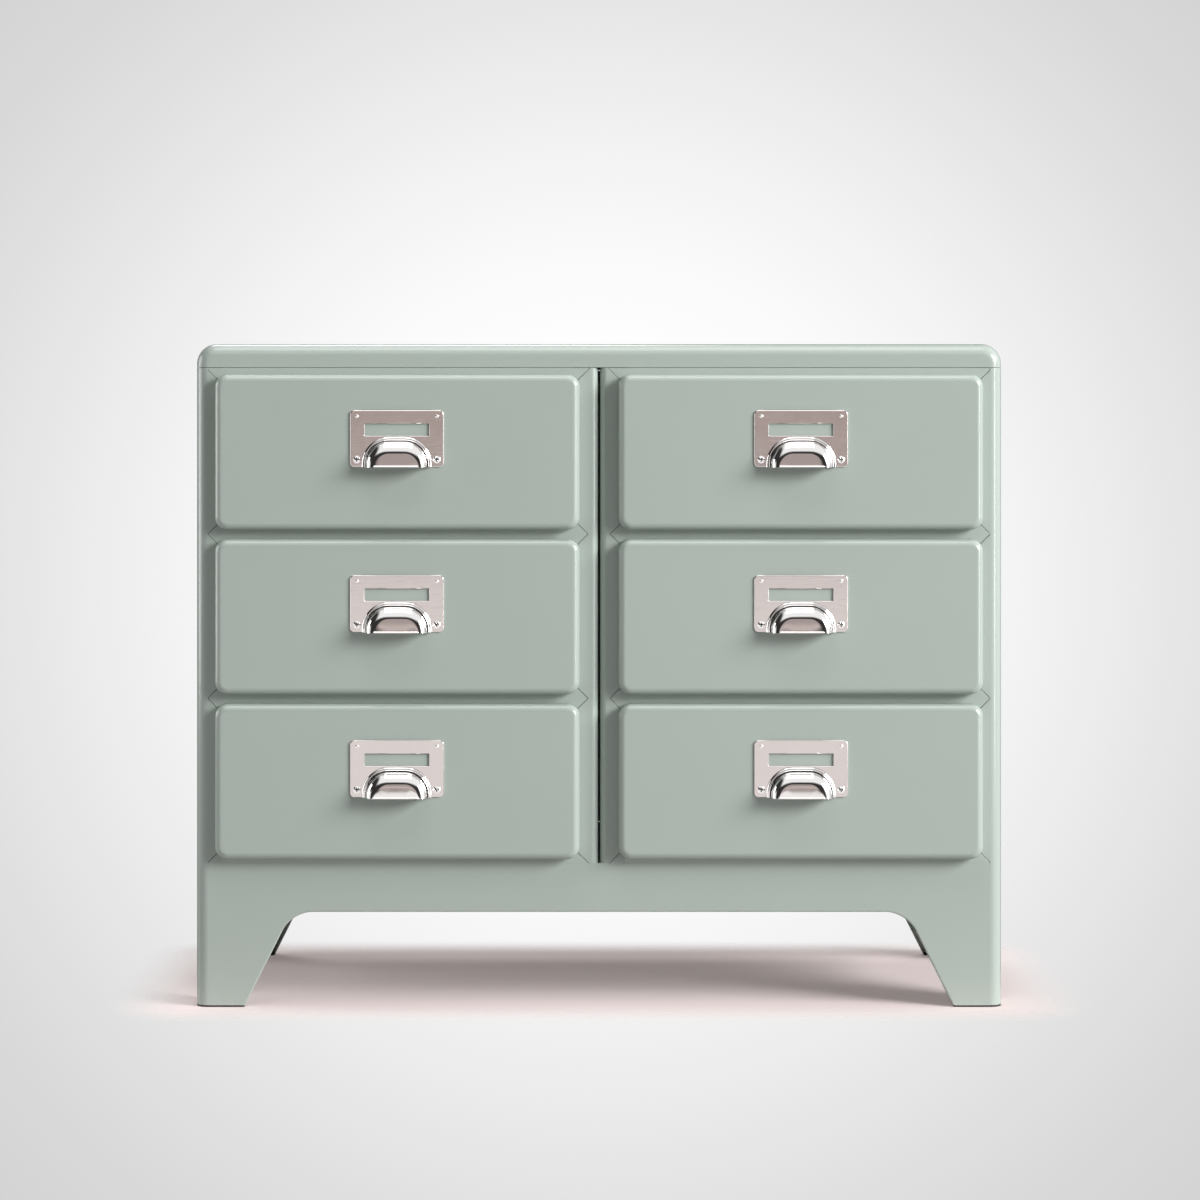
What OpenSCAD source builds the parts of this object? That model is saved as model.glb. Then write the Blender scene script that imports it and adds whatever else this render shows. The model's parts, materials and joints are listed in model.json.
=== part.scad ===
// Six-drawer sheet-steel cabinet on splayed legs, with a label holder and cup pull on each drawer.
// The front faces -Y and +Z is up. The origin is on the floor, under the middle of the whole outline.

/* [Cabinet] */
// Width across the side panels
cabinet_w = 900; // [780:10:1100]
// Height from the floor to the top
cabinet_h = 740; // [680:5:820]
// Depth from the face frame to the back
body_d = 380; // [350:5:460]
// Thickness of the body sheet
sheet_t = 1.2; // [0.8:0.1:1.6]
// Radius of the upright outer corners
corner_r = 12; // [10:0.5:14]
// Seam between neighbouring sheet parts
seam = 0.4; // [0.2:0.1:0.6]
// Width of the flanges at the back edges of the walls
rear_flange = 24; // [18:1:34]

/* [Top cover] */
// Height of the cover
top_h = 26.5; // [24:0.5:34]
// Radius over the left and right edges of the cover
top_edge_r = 22; // [17:0.5:23]

/* [Base] */
// Height of the base, from the floor to the face frame
base_h = 160.5; // [140:0.5:190]
// Height of the arches between the legs
arch_h = 106; // [80:1:120]
// Width of a leg at the floor
foot_w = 54; // [44:1:70]
// Sideways run of a leg's inner edge for each unit of height
leg_slope = 0.5; // [0.35:0.05:0.6]
// Radius where a leg runs into its arch
arch_r = 37; // [20:1:44]
// Depth of the flange folded back along the arches
arch_flange = 12; // [8:1:14]
// Depth of the ledge folded back along the top of the skirts
skirt_ledge = 26; // [22:1:34]
// Thickness of the foot pads under the sheet
pad_t = 2; // [1.5:0.5:5]
// Width of the foot pads across the sheet
pad_w = 15; // [14.5:0.5:20]
// Height of the tongue that holds a foot pad inside its leg
pad_tongue = 10; // [6:1:16]
// Thickness of that tongue
pad_tongue_t = 5; // [3:0.5:8]
// Distance that the tongue stops short of the ends of its pad
pad_tongue_short = 20; // [12:1:26]
// Height of the side edges of the floor pan
floor_edge = 24; // [16:1:30]

/* [Face frame] */
// Width of an outer stile that shows beside a drawer
outer_stile_w = 22.5; // [18:0.5:28]
// Width of an inner stile that shows beside a drawer
inner_stile_w = 20.5; // [18:0.5:28]
// Width of the slit between the two columns
slit_w = 2; // [1:0.5:6]
// Radius of the stile edges along the slit
slit_edge_r = 8; // [5:0.5:9]
// Strip that shows above the top drawers
top_reveal = 7.5; // [5:0.5:14]
// Strip that shows below the bottom drawers
bottom_reveal = 6; // [3:0.5:10]
// Strip that shows between two drawers
row_gap = 10.5; // [8:0.5:16]
// Distance that a drawer front laps over its opening at each side
lap_x = 7; // [5:0.5:10]
// Distance that a drawer front laps over its opening above and below
lap_z = 10.7; // [8:0.1:14]
// Depth of the folded rails
rail_d = 14; // [10:0.5:18]
// Depth of the fold along the inner edge of the stiles
stile_fold = 12; // [8:0.5:13]

/* [Drawer front] */
// Distance that the drawer fronts stand proud of the frame
front_proud = 18; // [14:0.5:26]
// Radius of the front's edges
front_edge_r = 6; // [3:0.5:9]
// Radius of the front's corners
front_corner_r = 11.5; // [10:0.5:16]
// Thickness of the drawer sheet
drawer_t = 1; // [0.7:0.1:1.4]
// Air between a closed drawer front and the frame
front_gap = 0.5; // [0.3:0.1:1]
// Width of the flange folded in behind a drawer front
front_flange = 26; // [25:1:36]

/* [Drawer box] */
// Gap between a drawer box and the edge of its opening, which the slides fill
slide_room = 13; // [12:0.5:16]
// Gap below a drawer box in its opening
box_below = 6; // [4:0.5:12]
// Gap above a drawer box in its opening
box_above = 14; // [6:1:30]
// Space between a drawer box and the back of the cabinet
box_behind = 30; // [24:1:50]
// Bend radius along the bottom of a drawer box
box_bend_r = 3; // [2:0.5:6]
// Width of the rim folded in around a drawer box
box_rim = 6; // [4:0.5:10]

/* [Slides] */
// Thickness of the runner and slide steel
slide_t = 1.2; // [1:0.1:1.6]
// Height between the flanges of a runner
runner_h = 26; // [22:0.5:32]
// Depth of the runner flanges
runner_flange = 10; // [9:0.5:10.5]
// Height of a runner's middle above the bottom of the drawer box
runner_rise = 56; // [30:1:80]
// Length of each bracket that carries a runner
bracket_l = 30; // [20:1:50]
// Height of each leg of a slide angle
slide_leg = 18; // [12:0.5:20]
// Distance from the runner's middle down to the leg that runs in it
slide_drop = 4.3; // [3:0.1:6]
// Gap between the edge of that leg and the back of the runner
slide_edge_gap = 1.2; // [0.8:0.1:2]
// Length of the nylon glides
glide_l = 24; // [16:1:32]
// Running clearance of the nylon glides
glide_gap = 0.3; // [0.2:0.05:0.5]
// Distance from the end of a slide to the back of the drawer box
slide_short = 20; // [10:1:30]

/* [Label holder and pull] */
// Width of the plate
plate_w = 104; // [100:1:130]
// Height of the plate
plate_h = 63; // [60:1:80]
// Thickness of the plate
plate_t = 2; // [1.6:0.1:3]
// Corner radius of the plate
plate_r = 4.5; // [2:0.5:8]
// Height of the plate's middle above the middle of the drawer front
plate_rise = 15; // [0:0.5:20]
// Width of the card window
window_w = 72; // [60:1:80]
// Height of the card window
window_h = 14; // [10:0.5:15]
// Distance from the top of the plate to the card window
window_drop = 14.5; // [12:0.5:16]
// Depth of the slot behind the window that takes a card
card_slot = 0.9; // [0.6:0.1:1]
// Distance that the plate laps over a card around the window
card_lap = 2; // [1:0.5:3]
// Width of the cup pull
cup_w = 78; // [66:1:80]
// Height of the cup pull
cup_h = 32; // [28.5:0.5:34]
// Distance that the cup pull stands out from the plate
cup_d = 20; // [17:0.5:28]
// Radius of the cup pull's upper corners
cup_r = 27; // [22:0.5:28]
// Thickness of the cup pull
cup_t = 1.2; // [0.8:0.1:1.6]
// Radius of the bead around the cup pull
bead_r = 2.2; // [1.5:0.1:2.6]
// Radius of the cup pull's shoulder
shoulder_r = 11.5; // [7:0.5:13]
// Radius of the rolled lower edge of the cup pull
lip_r = 1.1; // [0.9:0.1:1.5]

/* [Fasteners] */
// Distance from the plate's sides to its rivets and screws
plate_fix_x = 7.6; // [6.5:0.1:8]
// Distance from the plate's top to its rivets
plate_fix_top = 6.5; // [5:0.5:8]
// Distance from the plate's bottom to its screws
plate_fix_bottom = 8.2; // [7:0.1:12]
// Radius of the rivet heads
rivet_head_r = 2.2; // [1.8:0.1:3]
// Height of the rivet heads
rivet_head_h = 1.1; // [0.6:0.1:1.6]
// Radius of the plate screw heads
screw_head_r = 4.4; // [3:0.1:5]
// Height of the plate screw heads
screw_head_h = 2.2; // [1.2:0.1:2.8]
// Length of the rivets and screws behind the plate
plate_stem = 6; // [4:0.5:10]
// Radius of the fastener shanks
shank_r = 1.5; // [1:0.1:1.7]
// Clearance of a shank in its hole
shank_gap = 0.2; // [0.1:0.05:0.4]
// Radius of the back screw heads
back_head_r = 4.5; // [3.5:0.1:6]
// Height of the back screw heads
back_head_h = 2; // [1.2:0.1:3]
// Length of the back screws
back_screw_l = 7.2; // [5:0.2:12]
// Number of screws along each back edge
back_screw_count = 4; // [3:1:6]
// Distance from the ends of a back edge to its first and last screw
back_screw_inset = 60; // [40:1:90]
// Radius of the two wall-fixing holes in the back panel
tie_r = 2.75; // [2:0.25:4]
// Distance between the wall-fixing holes
tie_spacing = 300; // [200:10:500]
// Distance from the frame's top to the wall-fixing holes
tie_drop = 45; // [30:1:70]

/* [Hidden] */
$fn = 64;
EPS = 1;
COLUMNS = ["left", "right"];
ROWS = ["bottom", "middle", "top"];
DRAWER_PIECES = ["front", "box", "slides", "glides", "label_plate", "cup_pull", "pull_screws"];
BODY_PIECES = [
    "top_cover", "left_side", "right_side", "left_inner_wall", "right_inner_wall", "back_panel",
    "front_skirt", "rear_skirt", "leg_panels", "floor_pan", "top_rails", "middle_rails",
    "bottom_rails", "left_runners", "right_runners", "runner_glides", "foot_pads", "back_screws"
];

SAGE = [0.66, 0.70, 0.67];
SAGE_INSIDE = [0.60, 0.64, 0.61];
ZINC = [0.72, 0.74, 0.75];
NICKEL = [0.80, 0.77, 0.75];
CHROME = [0.88, 0.88, 0.89];
NYLON = [0.90, 0.89, 0.85];
BLACK_PLASTIC = [0.08, 0.08, 0.08];

// Places along Y, from the tips of the pulls to the heads of the back screws
pull_reach = front_proud + plate_t + cup_d;
overall_d = pull_reach + body_d + back_head_h;
face_y = pull_reach - overall_d / 2;
back_y = face_y + body_d;
back_panel_y = back_y - 2 * sheet_t;

// Heights
frame_top = cabinet_h - top_h;
frame_h = frame_top - base_h;
front_h = (frame_h - top_reveal - bottom_reveal - (len(ROWS) - 1) * row_gap) / len(ROWS);
row_pitch = front_h + row_gap;
first_row_z = base_h + bottom_reveal;

// Widths of a column
front_w = (cabinet_w - slit_w) / 2 - outer_stile_w - inner_stile_w;
open_w = front_w - 2 * lap_x;
column_x = slit_w / 2 + inner_stile_w + front_w / 2;
outer_wall_x = cabinet_w / 2 - sheet_t - column_x;
inner_wall_x = column_x - slit_w / 2 - sheet_t;
outer_reach = outer_stile_w + lap_x - corner_r - seam;
inner_reach = inner_stile_w + lap_x - slit_edge_r - seam;

// Skirts, which run between the leg panels to just inside the ends of their arch's straight
skirt_span = cabinet_w - 2 * foot_w;
skirt_half = floor(skirt_span / 2 - leg_slope * (arch_h - arch_r) - arch_r / cos(atan(leg_slope))) - 1;
leg_panel_w = cabinet_w / 2 - corner_r - skirt_half;

// Drawer box and slides, measured from the face frame and from the bottom of the drawer front
box_w = open_w - 2 * slide_room;
box_h = front_h - 2 * lap_z - box_below - box_above;
box_l = body_d - box_behind;
box_z = lap_z + box_below;
pan_d = front_proud - front_gap;
runner_z = box_z + runner_rise;
runner_y = rail_d + 2 * seam;
runner_l = body_d - corner_r - seam - runner_y;
slide_l = box_l - slide_short;
slide_z = runner_z - slide_drop;
front_glide_y = runner_y + slide_t;
rear_glide_y = slide_l - glide_l;
slide_reach = slide_room - slide_t - slide_edge_gap;

// Label holder, measured from the middle of the drawer front
plate_z = plate_rise - plate_h / 2;
fix_x = plate_w / 2 - plate_fix_x;
rivet_z = plate_z + plate_h - plate_fix_top;
screw_z = plate_z + plate_fix_bottom;
window_z = plate_z + plate_h - window_drop - window_h / 2;
rim_w = 2 * bead_r;
face_inset = rim_w + shoulder_r;

// Screws along the back edges of the walls
back_screw_pitch = (frame_h - 2 * back_screw_inset) / (back_screw_count - 1);
back_screw_rows = [for (i = [0:back_screw_count - 1]) base_h + back_screw_inset + i * back_screw_pitch];
side_screw_x = cabinet_w / 2 - corner_r - rear_flange / 2;
inner_screw_x = slit_w / 2 + rear_flange / 2;

function drawer_node(column, row, piece) = str("drawer_", column, "_", row, "_", piece);
function side_of(column) = column == "left" ? -1 : 1;
function row_z(row) = first_row_z + search([row], ROWS)[0] * row_pitch;

// Profiles

module quadrant(r) {
    intersection() {
        circle(r);
        square(r + EPS);
    }
}

module quarter_ring(r, t) {
    difference() {
        quadrant(r);
        circle(r - t);
    }
}

module rounded_rect(w, h, r) {
    a = w / 2;
    b = h / 2;
    polygon([
        [a, r - b], [a, b - r], [a - r, b - r], [a - r, b], [r - a, b], [r - a, b - r],
        [-a, b - r], [-a, r - b], [r - a, r - b], [r - a, -b], [a - r, -b], [a - r, r - b]
    ]);
    for (i = [0:3])
        translate([(i == 0 || i == 3 ? 1 : -1) * (a - r), (i < 2 ? 1 : -1) * (b - r)])
            rotate(90 * i)
                quadrant(r);
}

// A shape with a flat lower edge on the X axis and two round upper corners
module arched_rect(w, h, r) {
    a = w / 2;
    polygon([
        [-a, 0], [a, 0], [a, h - r], [a - r, h - r], [a - r, h], [r - a, h], [r - a, h - r], [-a, h - r]
    ]);
    translate([a - r, h - r])
        quadrant(r);
    translate([r - a, h - r])
        rotate(90)
            quadrant(r);
}

// The opening between two splayed legs, wider at the floor, grown by g all round
module leg_arch(span, g = 0) {
    lean = atan(leg_slope);
    stretch = 1 / cos(lean);
    r = arch_r + g;
    top = arch_h + g;
    cy = arch_h - arch_r;
    cx = span / 2 - leg_slope * cy - arch_r * stretch;
    tx = cx + r * cos(lean);
    ty = cy + r * sin(lean);
    floor_x = tx + leg_slope * (ty + EPS);
    polygon([[-floor_x, -EPS], [floor_x, -EPS], [tx, ty], [cx, top], [-cx, top], [-tx, ty]]);
    for (s = [-1, 1])
        translate([s * cx, cy])
            circle(r);
}

// Sweeps of a profile whose X runs outwards from a corner's centre and whose Y runs forwards

module sweep_round_rect(w, h, r) {
    for (i = [0:3]) {
        a = i % 2 == 0 ? w : h;
        b = i % 2 == 0 ? h : w;
        rotate(90 * i)
            translate([a / 2 - r, b / 2 - r, 0]) {
                rotate_extrude(angle = 90)
                    children();
                rotate([90, 0, 0])
                    linear_extrude(b - 2 * r)
                        children();
            }
    }
}

module sweep_arch(w, h, r) {
    translate([w / 2 - r, h - r, 0]) {
        rotate_extrude(angle = 90)
            children();
        rotate([90, 0, 0])
            linear_extrude(h - r)
                children();
    }
    translate([r - w / 2, h - r, 0]) {
        rotate(90)
            rotate_extrude(angle = 90)
                children();
        rotate([90, 0, 90])
            linear_extrude(w - 2 * r)
                children();
    }
    translate([r - w / 2, 0, 0])
        rotate([90, 0, 180])
            linear_extrude(h - r)
                children();
}

// Turns what is drawn flat so that it stands on its lower edge, at depth y, and faces the front
module stand(y) {
    translate([0, y, 0])
        rotate([90, 0, 0])
            children();
}

module at_drawer(column, row) {
    translate([side_of(column) * column_x, face_y, row_z(row)])
        children();
}

module both_sides() {
    for (s = [0, 1])
        mirror([s, 0, 0])
            children();
}

module front_and_back() {
    for (back = [0, 1])
        translate([0, back * (face_y + back_y), 0])
            mirror([0, back, 0])
                children();
}

// A domed head on the plane z = 0 with a shank behind it
module domed_fastener(head_r, head_h, stem_r, stem_l) {
    dome_r = (head_r * head_r + head_h * head_h) / (2 * head_h);
    rotate_extrude() {
        intersection() {
            translate([0, head_h - dome_r])
                circle(dome_r);
            square([dome_r, head_h + EPS]);
        }
        translate([0, -stem_l])
            square([stem_r, stem_l]);
    }
}

// Top cover: one sheet rolled down at both sides and closed by a rounded apron in front and behind

module cover_outline(inset) {
    arched_rect(cabinet_w - 2 * inset, top_h - seam - inset, top_edge_r - inset);
}

module cover_apron() {
    translate([0, 0, -sheet_t])
        linear_extrude(sheet_t)
            cover_outline(corner_r);
    translate([0, 0, -corner_r])
        sweep_arch(cabinet_w, top_h - seam, top_edge_r)
            translate([top_edge_r - corner_r, 0])
                quarter_ring(corner_r, sheet_t);
}

module top_cover() {
    color(SAGE)
        translate([0, 0, frame_top + seam]) {
            stand(back_y - corner_r)
                linear_extrude(body_d - 2 * corner_r)
                    difference() {
                        cover_outline(0);
                        translate([0, -EPS])
                            arched_rect(
                                cabinet_w - 2 * sheet_t, top_h - seam - sheet_t + EPS, top_edge_r - sheet_t
                            );
                    }
            stand(face_y)
                cover_apron();
            translate([0, face_y + back_y, 0])
                mirror([0, 1, 0])
                    stand(face_y)
                        cover_apron();
        }
}

// Face frame rails, drawn flat with the opening's middle at x = 0 and the slit towards -x

module end_rail_outline(h, g) {
    a = open_w / 2;
    low = -g * sqrt(2);
    outer = min(h, outer_reach) + g;
    inner = min(h, inner_reach) + g;
    polygon([
        [-a, low], [a, low], [a + outer, outer + low], [a + outer, h + g],
        [-a - inner, h + g], [-a - inner, inner + low]
    ]);
}

module middle_rail_outline(g) {
    a = open_w / 2;
    half = row_gap / 2 + lap_z;
    edge = half + g * sqrt(2);
    outer = min(half, outer_reach) + g;
    inner = min(half, inner_reach) + g;
    polygon([
        [-a, -edge], [a, -edge], [a + outer, outer - edge], [a + outer, edge - outer],
        [a, edge], [-a, edge], [-a - inner, edge - inner], [-a - inner, inner - edge]
    ]);
}

module rail_folds(low, high) {
    w = open_w - 2 * seam;
    for (z = [low, high - sheet_t])
        translate([-w / 2, z, -rail_d])
            cube([w, sheet_t, rail_d]);
}

// Places a level of the right column: its outline is drawn from the bottom, or turned over for the top
module at_top_rail() {
    translate([column_x, frame_top - top_reveal - lap_z])
        children();
}

module at_bottom_rail() {
    translate([column_x, base_h + bottom_reveal + lap_z])
        mirror([0, 1, 0])
            children();
}

module at_middle_rails() {
    for (i = [1:len(ROWS) - 1])
        translate([column_x, first_row_z + i * row_pitch - row_gap / 2])
            children();
}

module rail_outlines(g) {
    at_top_rail()
        end_rail_outline(top_reveal + lap_z, g);
    at_bottom_rail()
        end_rail_outline(bottom_reveal + lap_z, g);
    at_middle_rails()
        middle_rail_outline(g);
}

module end_rail(h) {
    translate([0, 0, -sheet_t])
        linear_extrude(sheet_t)
            end_rail_outline(h, 0);
    rail_folds(0, h);
}

module top_rails() {
    color(SAGE)
        both_sides()
            stand(face_y)
                at_top_rail()
                    end_rail(top_reveal + lap_z);
}

module bottom_rails() {
    color(SAGE)
        both_sides()
            stand(face_y)
                at_bottom_rail()
                    end_rail(bottom_reveal + lap_z);
}

module middle_rails() {
    half = row_gap / 2 + lap_z;
    color(SAGE)
        both_sides()
            stand(face_y)
                at_middle_rails() {
                    translate([0, 0, -sheet_t])
                        linear_extrude(sheet_t)
                            middle_rail_outline(0);
                    rail_folds(-half, half);
                }
}

// The mitred recesses that the rails fit, cut through the face of the stiles
module rail_recesses() {
    stand(face_y + sheet_t + seam)
        linear_extrude(sheet_t + seam + EPS)
            rail_outlines(seam);
}

// Walls: each is one folded sheet with a stile in front and a flange behind, drawn for the right column

module side_section() {
    edge = cabinet_w / 2;
    open_x = column_x + open_w / 2;
    translate([edge - sheet_t, face_y + corner_r])
        square([sheet_t, body_d - 2 * corner_r]);
    translate([edge - corner_r, face_y + corner_r])
        rotate(-90)
            quarter_ring(corner_r, sheet_t);
    translate([edge - corner_r, back_y - corner_r])
        quarter_ring(corner_r, sheet_t);
    translate([open_x, face_y])
        square([edge - corner_r - open_x, sheet_t]);
    translate([open_x, face_y])
        square([sheet_t, stile_fold]);
    translate([edge - corner_r - rear_flange, back_y - sheet_t])
        square([rear_flange, sheet_t]);
}

module side_arch_fold() {
    translate([cabinet_w / 2 - arch_flange, 0, 0])
        rotate([90, 0, 90])
            linear_extrude(arch_flange)
                intersection() {
                    difference() {
                        leg_arch(body_d - 2 * foot_w, sheet_t);
                        leg_arch(body_d - 2 * foot_w);
                    }
                    translate([-body_d / 2, pad_t])
                        square([body_d, base_h]);
                }
}

module side_wall() {
    mid_y = (face_y + back_y) / 2;
    difference() {
        union() {
            translate([0, 0, pad_t])
                linear_extrude(frame_top - pad_t)
                    side_section();
            translate([0, mid_y, 0])
                side_arch_fold();
        }
        // Below the face frame the skirts take the place of the stile and the rear flange
        translate([0, face_y - EPS, 0])
            cube([cabinet_w / 2 - corner_r, body_d + 2 * EPS, base_h]);
        translate([cabinet_w / 2 - arch_flange - EPS, mid_y, 0])
            rotate([90, 0, 90])
                linear_extrude(arch_flange + 2 * EPS)
                    leg_arch(body_d - 2 * foot_w);
        rail_recesses();
        back_screw_holes();
    }
}

module left_side() {
    color(SAGE)
        mirror([1, 0, 0])
            side_wall();
}

module right_side() {
    color(SAGE)
        side_wall();
}

module inner_section() {
    x = slit_w / 2;
    open_x = column_x - open_w / 2;
    translate([x, face_y + slit_edge_r])
        square([sheet_t, back_panel_y - face_y - slit_edge_r]);
    translate([x + slit_edge_r, face_y + slit_edge_r])
        rotate(180)
            quarter_ring(slit_edge_r, sheet_t);
    translate([x + slit_edge_r, face_y])
        square([open_x - x - slit_edge_r, sheet_t]);
    translate([open_x - sheet_t, face_y])
        square([sheet_t, stile_fold]);
    translate([x, back_panel_y - sheet_t])
        square([rear_flange, sheet_t]);
}

module inner_wall() {
    difference() {
        translate([0, 0, base_h])
            linear_extrude(frame_h)
                inner_section();
        translate([0, face_y + rail_d, base_h - EPS])
            cube([cabinet_w / 2, body_d, sheet_t + EPS]);
        rail_recesses();
        back_screw_holes();
    }
}

module left_inner_wall() {
    color(SAGE)
        mirror([1, 0, 0])
            inner_wall();
}

module right_inner_wall() {
    color(SAGE)
        inner_wall();
}

module back_panel() {
    w = cabinet_w - 2 * corner_r - 2 * seam;
    z = base_h + sheet_t + seam;
    color(SAGE_INSIDE)
        difference() {
            translate([-w / 2, back_panel_y, z])
                cube([w, sheet_t, frame_top - z - seam]);
            both_sides()
                back_screw_holes();
            for (s = [-1, 1])
                translate([s * tie_spacing / 2, back_panel_y - EPS, frame_top - tie_drop])
                    rotate([-90, 0, 0])
                        cylinder(r = tie_r, h = sheet_t + 2 * EPS);
        }
}

// Screws through the back edges of the right column's walls

module at_back_screws() {
    for (z = back_screw_rows) {
        translate([side_screw_x, back_y, z])
            rotate([-90, 0, 0])
                children();
        translate([inner_screw_x, back_panel_y + sheet_t, z])
            rotate([-90, 0, 0])
                children();
    }
}

module back_screw_holes() {
    at_back_screws()
        translate([0, 0, -back_screw_l])
            cylinder(r = shank_r + shank_gap, h = back_screw_l + EPS);
}

module back_screws() {
    color(ZINC)
        both_sides()
            at_back_screws()
                domed_fastener(back_head_r, back_head_h, shank_r, back_screw_l);
}

// Base

// The straight band over an arch, with its fold and its ledge
module skirt() {
    w = 2 * skirt_half;
    translate([-skirt_half, arch_h, -sheet_t])
        cube([w, base_h - arch_h, sheet_t]);
    translate([-skirt_half, arch_h, -arch_flange])
        cube([w, sheet_t, arch_flange]);
    translate([-skirt_half, base_h - sheet_t, -skirt_ledge])
        cube([w, sheet_t, skirt_ledge]);
}

module front_skirt() {
    color(SAGE)
        stand(face_y)
            skirt();
}

module rear_skirt() {
    color(SAGE)
        translate([0, face_y + back_y, 0])
            mirror([0, 1, 0])
                stand(face_y)
                    skirt();
}

// The front or rear face of a right leg, up to the end of the skirt, with the round end of the arch
module leg_panel() {
    translate([0, 0, -sheet_t])
        linear_extrude(sheet_t)
            difference() {
                translate([skirt_half, pad_t])
                    square([leg_panel_w, base_h - pad_t]);
                leg_arch(skirt_span);
            }
    translate([0, 0, -arch_flange])
        linear_extrude(arch_flange)
            intersection() {
                difference() {
                    leg_arch(skirt_span, sheet_t);
                    leg_arch(skirt_span);
                }
                translate([skirt_half, pad_t])
                    square([leg_panel_w, base_h]);
            }
    translate([skirt_half, base_h - sheet_t, -skirt_ledge])
        cube([leg_panel_w, sheet_t, skirt_ledge]);
}

module leg_panels() {
    color(SAGE)
        front_and_back()
            both_sides()
                stand(face_y)
                    leg_panel();
}

module floor_pan() {
    w = cabinet_w - 2 * sheet_t;
    y = face_y + rail_d + seam;
    l = back_panel_y - y;
    color(SAGE_INSIDE)
        translate([-w / 2, y, base_h])
            difference() {
                cube([w, l, floor_edge]);
                translate([sheet_t, -EPS, sheet_t])
                    cube([w - 2 * sheet_t, l + 2 * EPS, floor_edge]);
                // Cut short behind the round rear corners of the sides
                for (x = [-EPS, w - corner_r])
                    translate([x, l - corner_r, -EPS])
                        cube([corner_r + EPS, corner_r + EPS, floor_edge + 2 * EPS]);
            }
}

module foot_outline(inset, arm, width) {
    r = corner_r - inset;
    difference() {
        union() {
            polygon([
                [-arm, inset], [-corner_r, inset], [-corner_r, corner_r], [-inset, corner_r], [-inset, arm],
                [-arm, arm]
            ]);
            translate([-corner_r, corner_r])
                rotate(-90)
                    quadrant(r);
        }
        translate([-arm - EPS, inset + width])
            square([arm - inset - width + EPS, arm]);
    }
}

module foot_pad() {
    inside = sheet_t + shank_gap;
    linear_extrude(pad_t)
        foot_outline(0, foot_w, pad_w);
    translate([0, 0, pad_t])
        linear_extrude(pad_tongue)
            foot_outline(inside, foot_w - pad_tongue_short, pad_tongue_t);
}

module foot_pads() {
    color(BLACK_PLASTIC)
        front_and_back()
            both_sides()
                translate([cabinet_w / 2, face_y, 0])
                    foot_pad();
}

// Runners: channels on brackets that reach the walls, one each side of every drawer

module runner(wall_x) {
    edge = open_w / 2;
    back = edge - slide_t;
    tall = runner_h + 2 * slide_t;
    translate([0, runner_y, runner_z - tall / 2]) {
        translate([back, 0, 0])
            cube([slide_t, runner_l, tall]);
        for (z = [0, tall - slide_t])
            translate([edge - runner_flange, 0, z])
                cube([runner_flange, runner_l, slide_t]);
        for (y = [0, runner_l - bracket_l])
            translate([edge, y, slide_t])
                difference() {
                    cube([wall_x - edge, bracket_l, runner_h]);
                    translate([slide_t - EPS, slide_t, -EPS])
                        cube([wall_x - edge - 2 * slide_t + EPS, bracket_l - 2 * slide_t, runner_h + 2 * EPS]);
                }
    }
}

module right_runners() {
    color(ZINC)
        for (row = ROWS)
            at_drawer("right", row) {
                runner(outer_wall_x);
                mirror([1, 0, 0])
                    runner(inner_wall_x);
            }
}

module left_runners() {
    mirror([1, 0, 0])
        right_runners();
}

module front_glide() {
    low = runner_z - runner_h / 2;
    translate([open_w / 2 - runner_flange, front_glide_y, low])
        cube([runner_flange - slide_t, glide_l, slide_z - low - glide_gap]);
}

module runner_glides() {
    color(NYLON)
        for (column = COLUMNS, row = ROWS)
            at_drawer(column, row)
                both_sides()
                    front_glide();
}

// Drawers, drawn with the face frame at y = 0 and the bottom of the drawer front at z = 0

module drawer_front() {
    color(SAGE)
        translate([0, -front_gap, front_h / 2])
            rotate([90, 0, 0])
                difference() {
                    union() {
                        linear_extrude(drawer_t)
                            difference() {
                                rounded_rect(front_w, front_h, front_corner_r);
                                square([front_w - 2 * front_flange, front_h - 2 * front_flange], center = true);
                            }
                        translate([0, 0, drawer_t])
                            linear_extrude(pan_d - front_edge_r - drawer_t)
                                difference() {
                                    rounded_rect(front_w, front_h, front_corner_r);
                                    rounded_rect(
                                        front_w - 2 * drawer_t, front_h - 2 * drawer_t, front_corner_r - drawer_t
                                    );
                                }
                        sweep_round_rect(front_w, front_h, front_corner_r)
                            translate([front_corner_r - front_edge_r, pan_d - front_edge_r])
                                quarter_ring(front_edge_r, drawer_t);
                        translate([0, 0, pan_d - drawer_t])
                            linear_extrude(drawer_t)
                                rounded_rect(
                                    front_w - 2 * front_edge_r, front_h - 2 * front_edge_r,
                                    front_corner_r - front_edge_r
                                );
                    }
                    at_plate_fixings()
                        translate([0, 0, pan_d - drawer_t - EPS])
                            cylinder(r = shank_r + shank_gap, h = drawer_t + 2 * EPS);
                }
}

module drawer_box() {
    inside_w = box_w - 2 * drawer_t;
    color(SAGE_INSIDE)
        translate([0, -front_gap, box_z + box_h]) {
            difference() {
                box_trough(box_w, box_h, box_bend_r, box_l);
                translate([0, drawer_t, EPS])
                    box_trough(inside_w, box_h - drawer_t + EPS, box_bend_r - drawer_t, box_l - 2 * drawer_t);
            }
            translate([-box_w / 2, 0, -drawer_t])
                difference() {
                    cube([box_w, box_l, drawer_t]);
                    translate([box_rim, box_rim, -EPS])
                        cube([box_w - 2 * box_rim, box_l - 2 * box_rim, drawer_t + 2 * EPS]);
                }
        }
}

// A solid trough that hangs down from z = 0, with round lower edges
module box_trough(w, h, r, l) {
    translate([0, l, 0])
        rotate([90, 0, 0])
            linear_extrude(l)
                mirror([0, 1])
                    arched_rect(w, h, r);
}

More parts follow.
